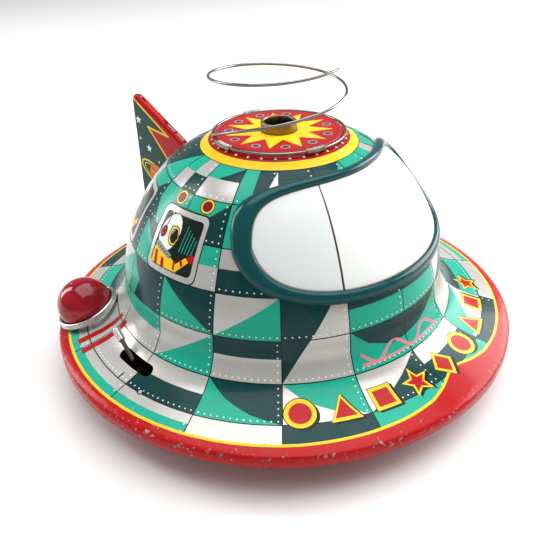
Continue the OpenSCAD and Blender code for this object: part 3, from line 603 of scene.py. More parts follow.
COLUMNS = 17
COLUMN = 360 / COLUMNS
FIRST_SEAM = -90.6
ROWS = [s_at_radius(32.9), s_at_height(68), s_at_height(55.4), s_at_height(41), s_at_height(25),
        s_at_height(9.6), s_at_height(3.2), s_at_radius(98.9)]

LOWER = [(0, 0.45), (1, 0.45), (1, 1), (0, 1)]
LEFT = [(0, 0), (0.45, 0), (0.38, 1), (0, 1)]
CORNER_SE = [(1, 0), (1, 1), (0, 1)]
CORNER_SW = [(0, 0), (1, 1), (0, 1)]
CORNER_NW = [(0, 0), (1, 0), (0, 1)]
SAIL_TOP = [(0.85, 0), (1, 0), (1, 1), (0.42, 1)]
SAIL_FOOT = [(0.42, 0), (1, 0), (1, 1), (0, 1)]
WAVE_IN = [(0, 0), (0.3, 0.4), (0.7, 0.62), (1, 0.6), (1, 1), (0, 1)]
WAVE_OUT = [(0, 0.6), (0.4, 0.5), (0.75, 0.25), (1, 0), (1, 1), (0, 1)]
BOW = [(0, 0), (0.28, 0.42), (0.62, 0.76), (1, 1), (0, 1)]

# Each row from the crown outwards; each cell is its ground ink and the shapes on it.
CELLS = [
    [("dark", [("green", [(0, 0), (0.5, 0), (0.5, 0.5), (0, 0.5)]),
               ("silver", [(0.5, 0), (1, 0), (1, 0.5), (0.5, 0.5)]),
               ("silver", [(0, 0.5), (0.5, 0.5), (0.5, 1), (0, 1)])]),
     ("green", [("dark", [(1, 0), (1, 0.45), (0.35, 0.45)]), ("silver", LOWER)]),
     ("dark", [("green", LEFT), ("silver", [(1, 0), (1, 1), (0.55, 1)])]),
     ("dark", []), ("dark", [("green", CORNER_SE)]), ("green", [])],
    [("green", [("dark", [(0, 0.4), (0.3, 1), (0, 1)])]), ("green", [("dark", CORNER_SE)]), ("green", []),
     ("silver", [("dark", LOWER)]), ("dark", [("green", CORNER_NW)]), ("silver", [])],
    [("dark", [("green", CORNER_SW)]), ("green", [("silver", LOWER)]), ("silver", [("dark", LOWER)]),
     ("green", [("dark", CORNER_SE)]), ("dark", []), ("silver", [("green", CORNER_SW)])],
    [("dark", [("green", [(0, 0), (0.35, 0.5), (0.2, 1), (0, 1)])]), ("dark", [("green", CORNER_SW)]),
     ("silver", [("green", CORNER_SE)]), ("dark", [("silver", SAIL_TOP)]), ("dark", [("green", LOWER)]),
     ("dark", [("green", LOWER)]), ("silver", [("dark", CORNER_SE)])],
    [("green", [("silver", LOWER)]), ("silver", [("green", CORNER_SE)]), ("dark", [("silver", LOWER)]),
     ("dark", [("silver", SAIL_FOOT)]), ("dark", [("green", WAVE_IN)]), ("dark", [("green", WAVE_OUT)]),
     ("silver", []), ("green", [("dark", CORNER_SW)])],
    [("silver", []), ("silver", [("dark", LOWER)]), ("dark", [("green", BOW)]), ("green", [("silver", BOW)]),
     ("silver", [("dark", CORNER_SE)]), ("silver", [("dark", LOWER)]), ("green", [("silver", CORNER_SE)]),
     ("dark", [("green", LOWER)])],
    [("silver", [("green", LOWER)]), ("silver", [("green", LOWER)]), ("silver", []), ("dark", []),
     ("green", []), ("green", []), ("dark", []), ("silver", [])],
]


def cell_point(column, row, u, v):
    """A point of a cell: u from its left seam to its right seam, v from its inner ring to its outer ring."""
    s = ROWS[row] + (ROWS[row + 1] - ROWS[row]) * v
    return FIRST_SEAM + COLUMN * (column - 1 + u), s


def seam_line(theta, s0, s1, width, ink, steps=8):
    """A thin line along a meridian, of the same width in millimetres all along."""
    levels = np.linspace(s0, s1, steps + 1)
    left = [(theta - width / 2 * per_mm(s), s) for s in levels]
    right = [(theta + width / 2 * per_mm(s), s) for s in levels]
    return (ink, left + right[::-1])


def sector(start, stop, inner, outer):
    """A patch between two angles and two profile lengths."""
    return [(start, inner), (stop, inner), (stop, outer), (start, outer)]


def ring_line(s, width, ink):
    return (ink, sector(-180, 180, s - width / 2, s + width / 2))


def spot(theta, s, radius, ink, sides=6):
    """A round spot on the shell."""
    turn = per_mm(s)
    return (ink, [(theta + x * turn, s + y) for x, y in circle(radius, sides)])


RIVET_IN = 1.5
RIVET_PITCH = 2.3
RIVET_R = 0.33


def rivets_down(theta, s0, s1):
    """Printed rivets beside a meridian, from the inner ring s0 out to the ring s1."""
    count = max(2, round((s0 - s1 - 2 * RIVET_IN) / RIVET_PITCH))
    levels = np.linspace(s0 - RIVET_IN, s1 + RIVET_IN, count)
    return [spot(theta - RIVET_IN * per_mm(s), s, RIVET_R, "white") for s in levels]


def rivets_round(theta0, theta1, s):
    """Printed rivets just inside a ring line."""
    level = s + RIVET_IN
    turn = per_mm(level)
    count = max(2, round(((theta1 - theta0) / turn - 2 * RIVET_IN) / RIVET_PITCH))
    angles = np.linspace(theta0 + RIVET_IN * turn, theta1 - RIVET_IN * turn, count)
    return [spot(a, level, RIVET_R, "white") for a in angles]


def cell_shapes():
    """The patchwork of plates, their seams and their rivets."""
    shapes = []
    for row, cells in enumerate(CELLS):
        for column in range(COLUMNS):
            ground, marks = cells[column % len(cells)]
            square = [(0, 0), (1, 0), (1, 1), (0, 1)]
            for ink, loop in [(ground, square)] + list(marks):
                shapes.append((ink, [cell_point(column, row, u, v) for u, v in loop]))
    for row in range(len(CELLS)):
        for column in range(COLUMNS):
            left = FIRST_SEAM + COLUMN * (column - 1)
            if row < len(CELLS) - 1 and (row + column) % 7 != 3:
                shapes += rivets_round(left, left + COLUMN, ROWS[row + 1])
            if (row + 2 * column) % 5 != 2:
                shapes += rivets_down(left + COLUMN, ROWS[row], ROWS[row + 1])
    for column in range(COLUMNS):
        shapes.append(seam_line(FIRST_SEAM + COLUMN * (column - 1), ROWS[0], ROWS[-1], 0.45, "black"))
    shapes += [ring_line(s, 0.45, "black") for s in ROWS[1:-1]]
    return shapes


def rim_shapes():
    """The red rim with its yellow line, which runs in to a cusp at the front, and the red skirt below."""
    yellow_out, yellow_in, red_out = [], [], []
    reach = [(0, 9.5), (3, 8.2), (7, 5.7), (12, 3.4), (20, 1.9), (30, 1.0), (45, 0.3), (180, 0)]
    line = 1.1
    for angle in np.concatenate([np.arange(-180, -46, 9), np.arange(-45, 46, 1.5), np.arange(54, 181, 9)]):
        pull = float(np.interp(abs(angle), [a for a, _ in reach], [d for _, d in reach]))
        s = s_at_radius(98.7) + pull
        yellow_in.append((angle, s + line))
        yellow_out.append((angle, s))
        red_out.append((angle, -1.0))
    return [("yellow", yellow_in + red_out[::-1]), ("red", yellow_out + red_out[::-1])]


CROWN_RIVETS = 32


def crown_shapes():
    """Yellow ring with black outlines, then a red ring with a circle of white rivets."""
    shapes = [ring_line(s_at_radius(32.8), 0.4, "black")]
    shapes.append(("yellow", sector(-180, 180, s_at_radius(32.7), s_at_radius(29.2))))
    shapes.append(ring_line(s_at_radius(29.1), 0.4, "black"))
    shapes.append(("red", sector(-180, 180, s_at_radius(29), ALONG[-1] + 1)))
    for i in range(CROWN_RIVETS):
        angle = -180 + 360 / CROWN_RIVETS * (i + 0.5)
        shapes.append(spot(angle, s_at_radius(27.8), 0.8, "deep_red", sides=10))
        shapes.append(spot(angle, s_at_radius(27.8), 0.55, "white", sides=8))
    return shapes


def badge_loop(kind, size):
    """Outline of a plain symbol in millimetres, across and outwards."""
    if kind == "disc":
        return [(y, x) for x, y in circle(size, 20)]
    if kind == "star":
        return [(r * math.sin(a), r * math.cos(a)) for r, a in
                [(size * (1.12 if i % 2 == 0 else 0.5), math.pi * i / 5) for i in range(10)]]
    if kind == "diamond":
        return [(0, size * 1.1), (size * 0.9, 0), (0, -size * 1.1), (-size * 0.9, 0)]
    if kind == "wedge":
        return [(0, size), (size * 0.95, -size * 0.85), (-size * 0.95, -size * 0.85)]
    half = size * 0.8
    return [(-half, half), (half, half), (half, -half), (-half, -half)]


def badge(kind, theta, radius, size):
    """A red symbol with a yellow border and a black shadow, lying on the brim."""
    s = s_at_radius(radius)
    turn = per_mm(s)

    def placed(loop, grow, shift=0.0):
        return [(theta + (x * grow + shift) * turn, s + y * grow - shift) for x, y in loop]

    loop = badge_loop(kind, size)
    return [("black", placed(loop, 1.24, 0.9)), ("black", placed(loop, 1.27)), ("yellow", placed(loop, 1.2)),
            ("red", placed(loop, 0.86))]


def badge_shapes():
    """A row of plain symbols along the front of the brim, where printed lettering was left out."""
    kinds = ["disc", "wedge", "square", "star", "diamond"]
    shapes = []
    for i in range(9):
        shapes += badge(kinds[i % len(kinds)], -44 + 10.8 * i, 85.8, 5.0)
    return shapes


def wavy_shapes():
    """A pink wavy ribbon on the dome's foot, where printed script was left out."""
    top, bottom = [], []
    for i in range(171):
        angle = -24 + i * 0.2
        s = s_at_height(13.5) + 2.6 * math.sin(math.radians(angle * 24)) - 0.02 * (angle + 24)
        half = 0.35 + 0.5 * abs(math.cos(math.radians(angle * 24)))
        top.append((angle, s + half))
        bottom.append((angle, s - half))
    tail = [(-24, s_at_height(9.9) + 1.1), (11, s_at_height(9.9) + 1.6), (11, s_at_height(9.9) + 2.2),
            (-24, s_at_height(9.9) + 2.3)]
    return [("pink", top + bottom[::-1]), ("pink", tail)]


def window_point(corners, u, v):
    """A point in a printed window from its corners: upper left, upper right, lower right, lower left."""
    (t0, s0), (t1, s1), (t2, s2), (t3, s3) = corners
    top = (t0 + (t1 - t0) * u, s0 + (s1 - s0) * u)
    foot = (t3 + (t2 - t3) * u, s3 + (s2 - s3) * u)
    return top[0] + (foot[0] - top[0]) * v, top[1] + (foot[1] - top[1]) * v


def round_box(u0, v0, u1, v1, ru, rv, steps=4):
    """A rectangle with rounded corners in window coordinates."""
    loop = []
    for cu, cv, start in ((u1 - ru, v1 - rv, 0), (u0 + ru, v1 - rv, 90),
                          (u0 + ru, v0 + rv, 180), (u1 - ru, v0 + rv, 270)):
        for i in range(steps + 1):
            a = math.radians(start + 90 * i / steps)
            loop.append((cu + ru * math.cos(a), cv + rv * math.sin(a)))
    return loop


def oval(u, v, ru, rv, sides=16):
    return [(u + ru * x, v + rv * y) for x, y in circle(1, sides)]


def tilted(u, v, ru, rv, angle, sides=20):
    """An oval leaning over by an angle."""
    c, n = math.cos(math.radians(angle)), math.sin(math.radians(angle))
    return [(u + x * c - y * n, v + x * n + y * c) for x, y in oval(0, 0, ru, rv, sides)]


def window_art():
    """A printed window: rounded frame and a helmeted pilot with a dark visor, in window coordinates."""
    art = [("black", round_box(-0.02, -0.025, 1.02, 1.025, 0.13, 0.14)),
           ("silver", round_box(0, 0, 1, 1, 0.11, 0.12)),
           ("black", round_box(0.075, 0.085, 0.925, 0.915, 0.07, 0.08)),
           ("night", round_box(0.09, 0.1, 0.91, 0.9, 0.06, 0.07))]
    for i in range(5):
        u = 0.66 + 0.055 * i
        v = 0.2 + 0.04 * i
        art.append(("green", [(u, v), (u + 0.012, v), (u - 0.03, 0.6), (u - 0.045, 0.6)]))
    art += [
        ("yellow", [(0.1, 0.9), (0.1, 0.68), (0.14, 0.6), (0.49, 0.72), (0.6, 0.8), (0.66, 0.9)]),
        ("yellow", [(0.46, 0.7), (0.62, 0.78), (0.78, 0.64), (0.84, 0.7), (0.66, 0.88), (0.46, 0.84)]),
        ("red", [(0.57, 0.74), (0.61, 0.75), (0.62, 0.88), (0.58, 0.87)]),
        ("red", [(0.68, 0.71), (0.72, 0.68), (0.76, 0.76), (0.72, 0.8)]),
        ("red", oval(0.87, 0.64, 0.06, 0.065)),
        ("red", [(0.14, 0.7), (0.2, 0.71), (0.24, 0.9), (0.17, 0.9)]),
        ("red", [(0.3, 0.76), (0.37, 0.78), (0.4, 0.9), (0.33, 0.9)]),
        ("black", tilted(0.325, 0.385, 0.225, 0.315, 14)),
        ("white", tilted(0.325, 0.385, 0.21, 0.3, 14)),
        ("grey", [(0.115, 0.59), (0.15, 0.56), (0.5, 0.68), (0.49, 0.74), (0.46, 0.75), (0.115, 0.65)]),
        ("black", [(0.33, 0.28), (0.43, 0.25), (0.5, 0.27), (0.55, 0.42), (0.5, 0.55), (0.4, 0.56),
                   (0.34, 0.5), (0.31, 0.39)]),
        ("yellow", [(0.345, 0.295), (0.43, 0.265), (0.49, 0.285), (0.535, 0.42), (0.49, 0.535),
                    (0.405, 0.545), (0.35, 0.49), (0.325, 0.39)]),
        ("night", [(0.37, 0.32), (0.44, 0.295), (0.485, 0.31), (0.525, 0.42), (0.485, 0.51), (0.42, 0.52),
                   (0.375, 0.475), (0.35, 0.39)]),
        ("grey", [(0.35, 0.36), (0.4, 0.31), (0.43, 0.32), (0.37, 0.42)]),
        ("black", tilted(0.19, 0.41, 0.07, 0.095, 14)),
        ("red", tilted(0.19, 0.41, 0.055, 0.078, 14)),
        ("black", tilted(0.19, 0.41, 0.025, 0.035, 14)),
        ("black", [(0.19, 0.36), (0.22, 0.1), (0.235, 0.1), (0.21, 0.36)]),
        ("yellow", oval(0.226, 0.1, 0.02, 0.022, 8)),
    ]
    art += [("black", oval(0.17 + 0.31 * i / 5, 0.615 + 0.1 * i / 5, 0.013, 0.016, 6)) for i in range(6)]
    return art


WINDOWS_AT = (-89.7, -130, 89.7, 130)
LIGHTS_AT = (-96.8, -80.6, 96.8, 80.6)


def window_shapes(theta, mirrored):
    """One printed window centred at an angle; a mirrored one faces the other way."""
    top, foot = s_at_height(63.2), s_at_height(41.2)
    half_top, half_foot = 13, 11.8
    corners = [(theta - half_top, top), (theta + half_top, top),
               (theta + half_foot, foot), (theta - half_foot, foot)]
    shapes = []
    for ink, loop in window_art():
        placed = [(1 - u, v) for u, v in loop] if mirrored else loop
        shapes.append((ink, [window_point(corners, u, v) for u, v in placed]))
    return shapes


def light_shapes(theta):
    """A round printed signal light."""
    s = s_at_height(66.1)
    return [spot(theta, s, radius, ink, 20) for radius, ink in
            ((3.15, "black"), (2.85, "yellow"), (2.15, "black"), (1.95, "deep_red"))]


SWITCH_AT = -94.0
SLOT_AT = -94.1
SLOT_R = 81.5
SLOT_HALF_TURN = 7.3
SLOT_HALF_WIDTH = 2.7
LAMP_BARS = ((-116.0, -113.9, "black"), (-115.8, -114.1, "red"),
             (-111.4, -109.3, "black"), (-111.2, -109.5, "red"))
def switch_shapes():
    """Plain marks beside the lever's slot, and red bars beside the lamp."""
    mark = s_at_radius(89.7)
    shapes = [spot(-85.4, mark, 1.3, "black", 14), spot(-85.4, mark, 0.8, "silver", 14)]
    tick = s_at_radius(88.6)
    half = 0.35 * per_mm(tick)
    shapes.append(("black", sector(SWITCH_AT - half, SWITCH_AT + half, tick - 1.5, tick + 1.5)))
    for start, stop, ink in LAMP_BARS:
        shapes.append((ink, sector(start, stop, s_at_radius(74.6), s_at_radius(95))))
    return shapes


GLASS_W = 53.5
GLASS_LO = 35.8
GLASS_MID = 54.0
GLASS_HI = 74.4
GLASS_FOOT_PULL = (0.835, 1.09, 0.1)
GLASS_HEAD_PULL = (0.836, 0.95, 0.636)
GLASS_SHARE = (0.79, 0.79, 0.4, 0.3)
FRAME_W = 6.0
PANE_TUCK = 2.0
PANE_T = 0.6
PANE_SEAM = -28.0
PANE_GAP = 0.2
SEAT_GAP = 0.1


def glass_outline(inset, steps=24):
    """The windshield's outline in the front view, (x, height above the rim), moved in by an inset."""
    w, lo = GLASS_W - GLASS_SHARE[0] * inset, GLASS_LO + GLASS_SHARE[1] * inset
    mid, hi = GLASS_MID + GLASS_SHARE[2] * inset, GLASS_HI - GLASS_SHARE[3] * inset
    a, b = GLASS_FOOT_PULL, GLASS_HEAD_PULL
    foot = bezier([(0, lo), (a[0] * w, lo), (a[1] * w, lo + a[2] * (mid - lo)), (w, mid)], steps)
    head = bezier([(w, mid), (b[0] * w, mid + b[1] * (hi - mid)), (b[2] * w, hi), (0, hi)], steps, 1)
    half = np.concatenate([foot, head])
    other = half[::-1][1:-1] * [-1, 1]
    return np.concatenate([half, other])


def glass_on_shell(points):
    """Angle and profile length of points given in the front view."""
    placed = []
    for x, z in points:
        s = s_at_height(z)
        r = float(on_profile(s)[0])
        placed.append((math.degrees(math.asin(x / r)), s))
    return placed


def slot_loop():
    """The lever's curved slot, cut through the brim: two round ends joined along the circle."""
    s = s_at_radius(SLOT_R)
    wide = SLOT_HALF_WIDTH * per_mm(s)
    loop = []
    for side, start in ((1, -90), (-1, 90)):
        for a in np.radians(np.linspace(start, start + 180, 9)):
            across = side * (SLOT_HALF_TURN - wide) + wide * math.cos(a)
            loop.append((SLOT_AT + across, s + SLOT_HALF_WIDTH * math.sin(a)))
    return loop


def wrapped(shapes):
    """Shapes that run past the sheet's two ends are repeated on the other side."""
    out = []
    for ink, loop in shapes:
        turns = [t for t, _ in loop]
        out.append((ink, loop))
        if min(turns) < -180:
            out.append((ink, [(t + 360, s) for t, s in loop]))
        if max(turns) > 180:
            out.append((ink, [(t - 360, s) for t, s in loop]))
    return out


LAMP_AT = -126.5
LAMP_OUT = 88.5
LAMP_UP = 5
LAMP_TILT = 20
LAMP_HOLE_R = 10.5
LAMP_PLACE = (Matrix.Rotation(math.radians(LAMP_AT), 4, "Z")
              @ Matrix.Translation((0, -LAMP_OUT, RIM_Z + LAMP_UP))
              @ Matrix.Rotation(math.radians(LAMP_TILT), 4, "X"))


def lamp_hole():
    """Where the lamp's socket goes down through the brim."""
    ring = moved([(x, y, 0) for x, y in circle(LAMP_HOLE_R, 40)], LAMP_PLACE)
    return [(math.degrees(math.atan2(x, -y)), s_at_radius(math.hypot(x, y))) for x, y, _ in ring]


def build_shell():
    shapes = cell_shapes()
    for middle in WINDOWS_AT:
        shapes += window_shapes(middle, mirrored=middle > 0)
    for middle in LIGHTS_AT:
        shapes += light_shapes(middle)
    shapes += wavy_shapes() + rim_shapes() + badge_shapes() + switch_shapes() + crown_shapes()
    levels = np.unique(np.round(np.concatenate([ALONG, *[
        np.linspace(a, b, max(1, math.ceil((b - a) / 2.6)) + 1) for a, b in zip(ALONG[:-1], ALONG[1:])]]), 3))
    grid = [(SCALE * t, s) for t in np.arange(-180, 181, 2.5) for s in levels]
    boundary = [(-180 * SCALE, 0), (180 * SCALE, 0), (180 * SCALE, ALONG[-1]), (-180 * SCALE, ALONG[-1])]
    holes = [flat_loop(glass_on_shell(glass_outline(FRAME_W + 1))), flat_loop(slot_loop()),
             flat_loop(lamp_hole())]
    numbered = [(INK[ink], flat_loop(loop)) for ink, loop in wrapped(shapes)]
    flat, tris, ink = print_sheet(boundary, holes, numbered, grid)
    points, normals = on_shell(flat[:, 0] / SCALE, flat[:, 1])
    edge = np.exp(-np.abs(flat[:, 1] - ALONG[2]) / 4.0)
    mesh = printed_solid("shell", points, normals, tris, ink, SHEET, edge)
    add_piece("shell_printed", mesh, "chassis", "litho_tin", LITHO, "upper_shell")


build_shell()


# ---------------------------------------------------------------- windshield

# Across the frame from its outer to its inner edge: share of the width, and height above the dome.
FRAME_SECTION = [(0, 0.02), (0, 0.4), (0.05, 1.05), (0.15, 1.7), (0.3, 2.2), (0.48, 2.5), (0.66, 2.5),
                 (0.8, 2.25), (0.9, 1.8), (0.97, 1.3), (1.0, 0.95), (1.0, 0.78), (0.64, 0.78), (0.6, 0.02)]


def build_windshield_frame():
    outer, inner = glass_outline(0, 40), glass_outline(FRAME_W, 40)
    share = np.array([t for t, _ in FRAME_SECTION])[:, None]
    lift = np.array([h for _, h in FRAME_SECTION])[:, None]
    rings = []
    for edge, lip in zip(outer, inner):
        turn, along = np.array(glass_on_shell(edge + (lip - edge) * share)).T
        rings.append(on_shell(turn, along, lift)[0])
    faces = ring_faces(len(outer), len(FRAME_SECTION), closed_rings=True)
    mesh = mesh_of("windshield_frame_look", np.concatenate(rings), faces)
    add_piece("windshield_frame_pressed", mesh, "chassis", "teal_tin", TEAL_TIN, "windshield_frame")


def clip_loop(loop, limit, side):
    """The part of a loop that lies on one side of an angle."""
    out = []
    for (t0, s0), (t1, s1) in zip(loop, loop[1:] + loop[:1]):
        in0, in1 = side * (t0 - limit) > 0, side * (t1 - limit) > 0
        if in0:
            out.append((t0, s0))
        if in0 != in1:
            out.append((limit, s0 + (s1 - s0) * (limit - t0) / (t1 - t0)))
    return out


def build_pane(name, node, side, ink):
    """A white pane on one side of the seam, stained along the frame and dark along the seam."""
    limit = PANE_SEAM + (PANE_GAP if side > 0 else 0)
    cut = clip_loop(glass_on_shell(glass_outline(FRAME_W - PANE_TUCK)), limit, side)
    stained = clip_loop(glass_on_shell(glass_outline(FRAME_W - 0.2)), limit + side * 0.28, side)
    clean = clip_loop(glass_on_shell(glass_outline(FRAME_W + 0.35)), limit + side * 0.28, side)
    turns, lengths = [t for t, _ in cut], [s for _, s in cut]
    grid = [(SCALE * t, s) for t in np.arange(min(turns), max(turns), 2.5)
            for s in np.arange(min(lengths), max(lengths), 2)]
    shapes = [(INK["brown"], flat_loop(cut)), (INK["stain"], flat_loop(stained)),
              (INK[ink], flat_loop(clean))]
    flat, tris, inks = print_sheet(flat_loop(cut), [], shapes, grid)
    points, normals = on_shell(flat[:, 0] / SCALE, flat[:, 1], SEAT_GAP + PANE_T)
    mesh = printed_solid(name, points, normals, tris, inks, PANE_T)
    add_piece(name + "_printed", mesh, "chassis", "white_tin", PANE_TIN, node)


build_windshield_frame()
# The side pane takes the darker white, painted shade; the front pane takes the lighter white, painted light.
build_pane("side_pane", "windshield_side_pane", -1, "pane")
build_pane("front_pane", "windshield_front_pane", 1, "pane_front_lit")


# ---------------------------------------------------------------- top disc, nozzle and wire

DISC_R = 26.0
DISC_H = 80.8
DISC_ROLL = 0.5
DISC_LIP = 0.8
DISC_LINE_R = 24.3
BURST_TIP_R = 22.3
BURST_ROOT_R = 12.5
MARKS_R = 20.6
NOZZLE_R = 7.5
NOZZLE_BORE = 6.3
WIRE_R = 0.6
WIRE_RING_R = 27.3
WIRE_Z = RIM_Z + DISC_H - 0.4
WIRE_START = -127.5
WIRE_FLAT = 350
WIRE_TURN = 495
WIRE_RISE = 28
WIRE_SPRING = 12.5
WIRE_SLOPE = 0.0337
WIRE_SETTLE = 65.7
CLIPS_AT = (-17, 158, -100)
CLIP_ARC = 17


def build_top_disc():
    """The raised disc with a printed burst and a ring of round marks, and its edge turned down."""
    rays = 11
    burst = []
    for i in range(2 * rays):
        radius, angle = (BURST_TIP_R if i % 2 else BURST_ROOT_R), math.pi * i / rays
        burst.append((radius * math.cos(angle), radius * math.sin(angle)))
    edge_r = DISC_R - DISC_ROLL
    outer = edge_r + DISC_ROLL * math.pi / 2 + DISC_LIP
    shapes = [("red", circle(outer + 1, 60)), ("black", circle(DISC_LINE_R, 72)),
              ("red", circle(DISC_LINE_R - 0.3, 72)), ("yellow", burst)]
    for i in range(rays):
        angle = 2 * math.pi * i / rays
        across, down = MARKS_R * math.cos(angle), MARKS_R * math.sin(angle)
        for ink, size in (("black", 2.3), ("grey", 2.05), ("deep_red", 1.35)):
            shapes.append((ink, oval(across, down, size, size)))
    grid = [p for radius in (9, 11, 14, 17, 20, 23, edge_r, edge_r + 0.26, edge_r + 0.52, edge_r + 0.78)
            for p in circle(radius, 90)]
    numbered = [(INK[ink], loop) for ink, loop in shapes]
    flat, tris, ink = print_sheet(circle(outer, 90), [circle(NOZZLE_R + 0.1, 60)], numbered, grid)
    reach = np.hypot(flat[:, 0], flat[:, 1])
    bend = np.clip((reach - edge_r) / DISC_ROLL, 0, math.pi / 2)
    drop = DISC_ROLL * (1 - np.cos(bend)) + np.maximum(0, reach - edge_r - DISC_ROLL * math.pi / 2)
    radius = np.where(reach < edge_r, reach, edge_r + DISC_ROLL * np.sin(bend))
    out = flat / reach[:, None]
    points = np.column_stack([out * radius[:, None], RIM_Z + DISC_H - drop])
    normals = np.column_stack([out * np.sin(bend)[:, None], np.cos(bend)])
    mesh = printed_solid("top_disc_look", points, normals, tris, ink, 0.4)
    add_piece("top_disc_printed", mesh, "chassis", "litho_tin", DISC_TIN, "top_disc")


def build_nozzle():
    low, high = (corner[2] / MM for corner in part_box("air_nozzle"))
    lip = (NOZZLE_R + NOZZLE_BORE) / 2
    profile = [(NOZZLE_R, low), (NOZZLE_R, high - 0.6), (NOZZLE_R - 0.12, high - 0.2), (lip + 0.15, high),
               (lip - 0.15, high), (NOZZLE_BORE + 0.12, high - 0.2), (NOZZLE_BORE, high - 0.6),
               (NOZZLE_BORE, low)]
    mesh = mesh_of("nozzle_look", *lathe(profile))
    add_piece("nozzle_turned", mesh, "chassis", "brass", BRASS, "air_nozzle")


def wire_lift(u):
    """Height gained by the wire at an angle u past its flat turn."""
    if u <= 0:
        return 0.0
    full = WIRE_RISE / (WIRE_SPRING + WIRE_SLOPE * WIRE_TURN)
    return full * (WIRE_SPRING * (1 - math.exp(-u / WIRE_SETTLE)) + WIRE_SLOPE * u)


def wire_point(u):
    a = math.radians(WIRE_START + u)
    return WIRE_RING_R * math.sin(a), -WIRE_RING_R * math.cos(a), WIRE_Z + wire_lift(u)


def build_wire():
    """The sprung wire as one round bar, and the coiled sleeves that hold its lowest turn."""
    path = [wire_point(u) for u in np.arange(-WIRE_FLAT, WIRE_TURN + 1, 2.5)]
    mesh = mesh_of("wire_look", *tube(path, [WIRE_R] * len(path)))
    add_piece("wire_drawn", mesh, "chassis", "chrome", WIRE, "ball_catcher_wire")
    points, faces = [], []
    for middle in CLIPS_AT:
        steps = 90
        turns = np.radians(middle + CLIP_ARC * np.linspace(-0.5, 0.5, steps + 1))
        path = [(WIRE_RING_R * math.sin(a), -WIRE_RING_R * math.cos(a), WIRE_Z) for a in turns]
        coil = [1.13 + 0.13 * math.cos(2 * math.pi * i / 7.5) for i in range(steps + 1)]
        coil[0] = coil[-1] = 0.75
        more, quads = tube(path, coil, 16)
        faces += [tuple(len(points) + i for i in quad) for quad in quads]
        points += list(more)
    mesh = mesh_of("clips_look", points, faces)
    add_piece("clips_coiled", mesh, "chassis", "chrome", SLEEVE, "wire_clips")


build_top_disc()
build_nozzle()
build_wire()


# ---------------------------------------------------------------- tail fin

FIN_T = 5.0
FIN_ROLL = 1.9
FIN_FRONT_R = 52
FIN_FRONT_Z = 57.5
FIN_RUN = 41.5
FIN_RISE = 21.9
ZIGZAG = [(95.4, 77.6), (71.1, 62.9), (86.2, 64.9), (73.1, 50.8), (60, 36)]


def fin_outline():
    """The free edge from the dome over the tip down the rear, and the foot that follows the body."""
    along = np.linspace(s_at_radius(98), s_at_radius(50), 120)
    r, z = on_profile(along)
    top = FIN_FRONT_Z + (r - FIN_FRONT_R) * FIN_RISE / FIN_RUN
    meet = int(np.argmax(z > top))
    foot = [(float(a), float(b) + 0.12) for a, b in zip(r[:meet], z[:meet])]
    tip = bezier([(91, 78.08), (95, 80.2), (97.1, 79.8), (97.25, 75.5)], 10).tolist()
    free = [foot[-1]] + [tuple(p) for p in tip] + [(97.6, 50), (98, 20), foot[0]]
    return free, foot


def nearest_edge(points, free):
    """Distance from each point to the free edge, and the direction to it."""
    best, toward = np.full(len(points), 1e9), np.zeros((len(points), 2))
    for a, b in zip(np.array(free[:-1]), np.array(free[1:])):
        t = np.clip((points - a) @ (b - a) / ((b - a) @ (b - a)), 0, 1)[:, None]
        gap = a + (b - a) * t - points
        away = np.linalg.norm(gap, axis=1)
        closer = away < best
        best[closer] = away[closer]
        toward[closer] = gap[closer] / np.maximum(away[closer], 1e-6)[:, None]
    return best, toward


def stroke(path, width, ink):
    """A line of some width through points."""
    shapes = []
    for (y0, z0), (y1, z1) in zip(path[:-1], path[1:]):
        length = math.hypot(y1 - y0, z1 - z0)
        dy, dz = (y1 - y0) / length * width / 2, (z1 - z0) / length * width / 2
        shapes.append((ink, [(y0 - dy - dz, z0 - dz + dy), (y0 - dy + dz, z0 - dz - dy),
                             (y1 + dy + dz, z1 + dz - dy), (y1 + dy - dz, z1 + dz + dy)]))
    return shapes


def fin_art():
    """Red with a yellow zigzag, and behind it a dark sky with stars and a ringed planet."""
    art = [("red", [(40, -10), (110, -10), (110, 95), (40, 95)]),
           ("field", ZIGZAG + [(60, -5), (101, -5), (101, 82), (96.4, 80.4)])]
    art += stroke(ZIGZAG, 1.0, "yellow")
    for y, z, size in ((93.3, 67.1, 2.1), (87.3, 53.4, 2.0), (93.6, 57.5, 0.9), (80.5, 47.5, 0.8),
                       (92, 24, 1.6)):
        art.append(("white", [(y + a, z + b) for a, b in badge_loop("star", size)]))
    art += [("yellow", tilted(84, 39.6, 12.4, 5.2, 28, 32)), ("field", tilted(84, 39.6, 11.2, 4.1, 28, 32)),
            ("yellow", tilted(84, 39.6, 9.9, 3.3, 28, 32)), ("field", tilted(84, 39.6, 9.3, 2.8, 28, 32)),
            ("orange", oval(84, 40.5, 4.9, 4.9, 24)), ("red", tilted(84, 41.7, 4.4, 0.35, 28)),
            ("yellow", tilted(84, 39.6, 4.6, 0.35, 28)), ("red", tilted(84, 38.2, 4.0, 0.3, 28)),
            ("night", [(96.5, 82), (101, 82), (101, -5), (97.1, -5)])]
    return art


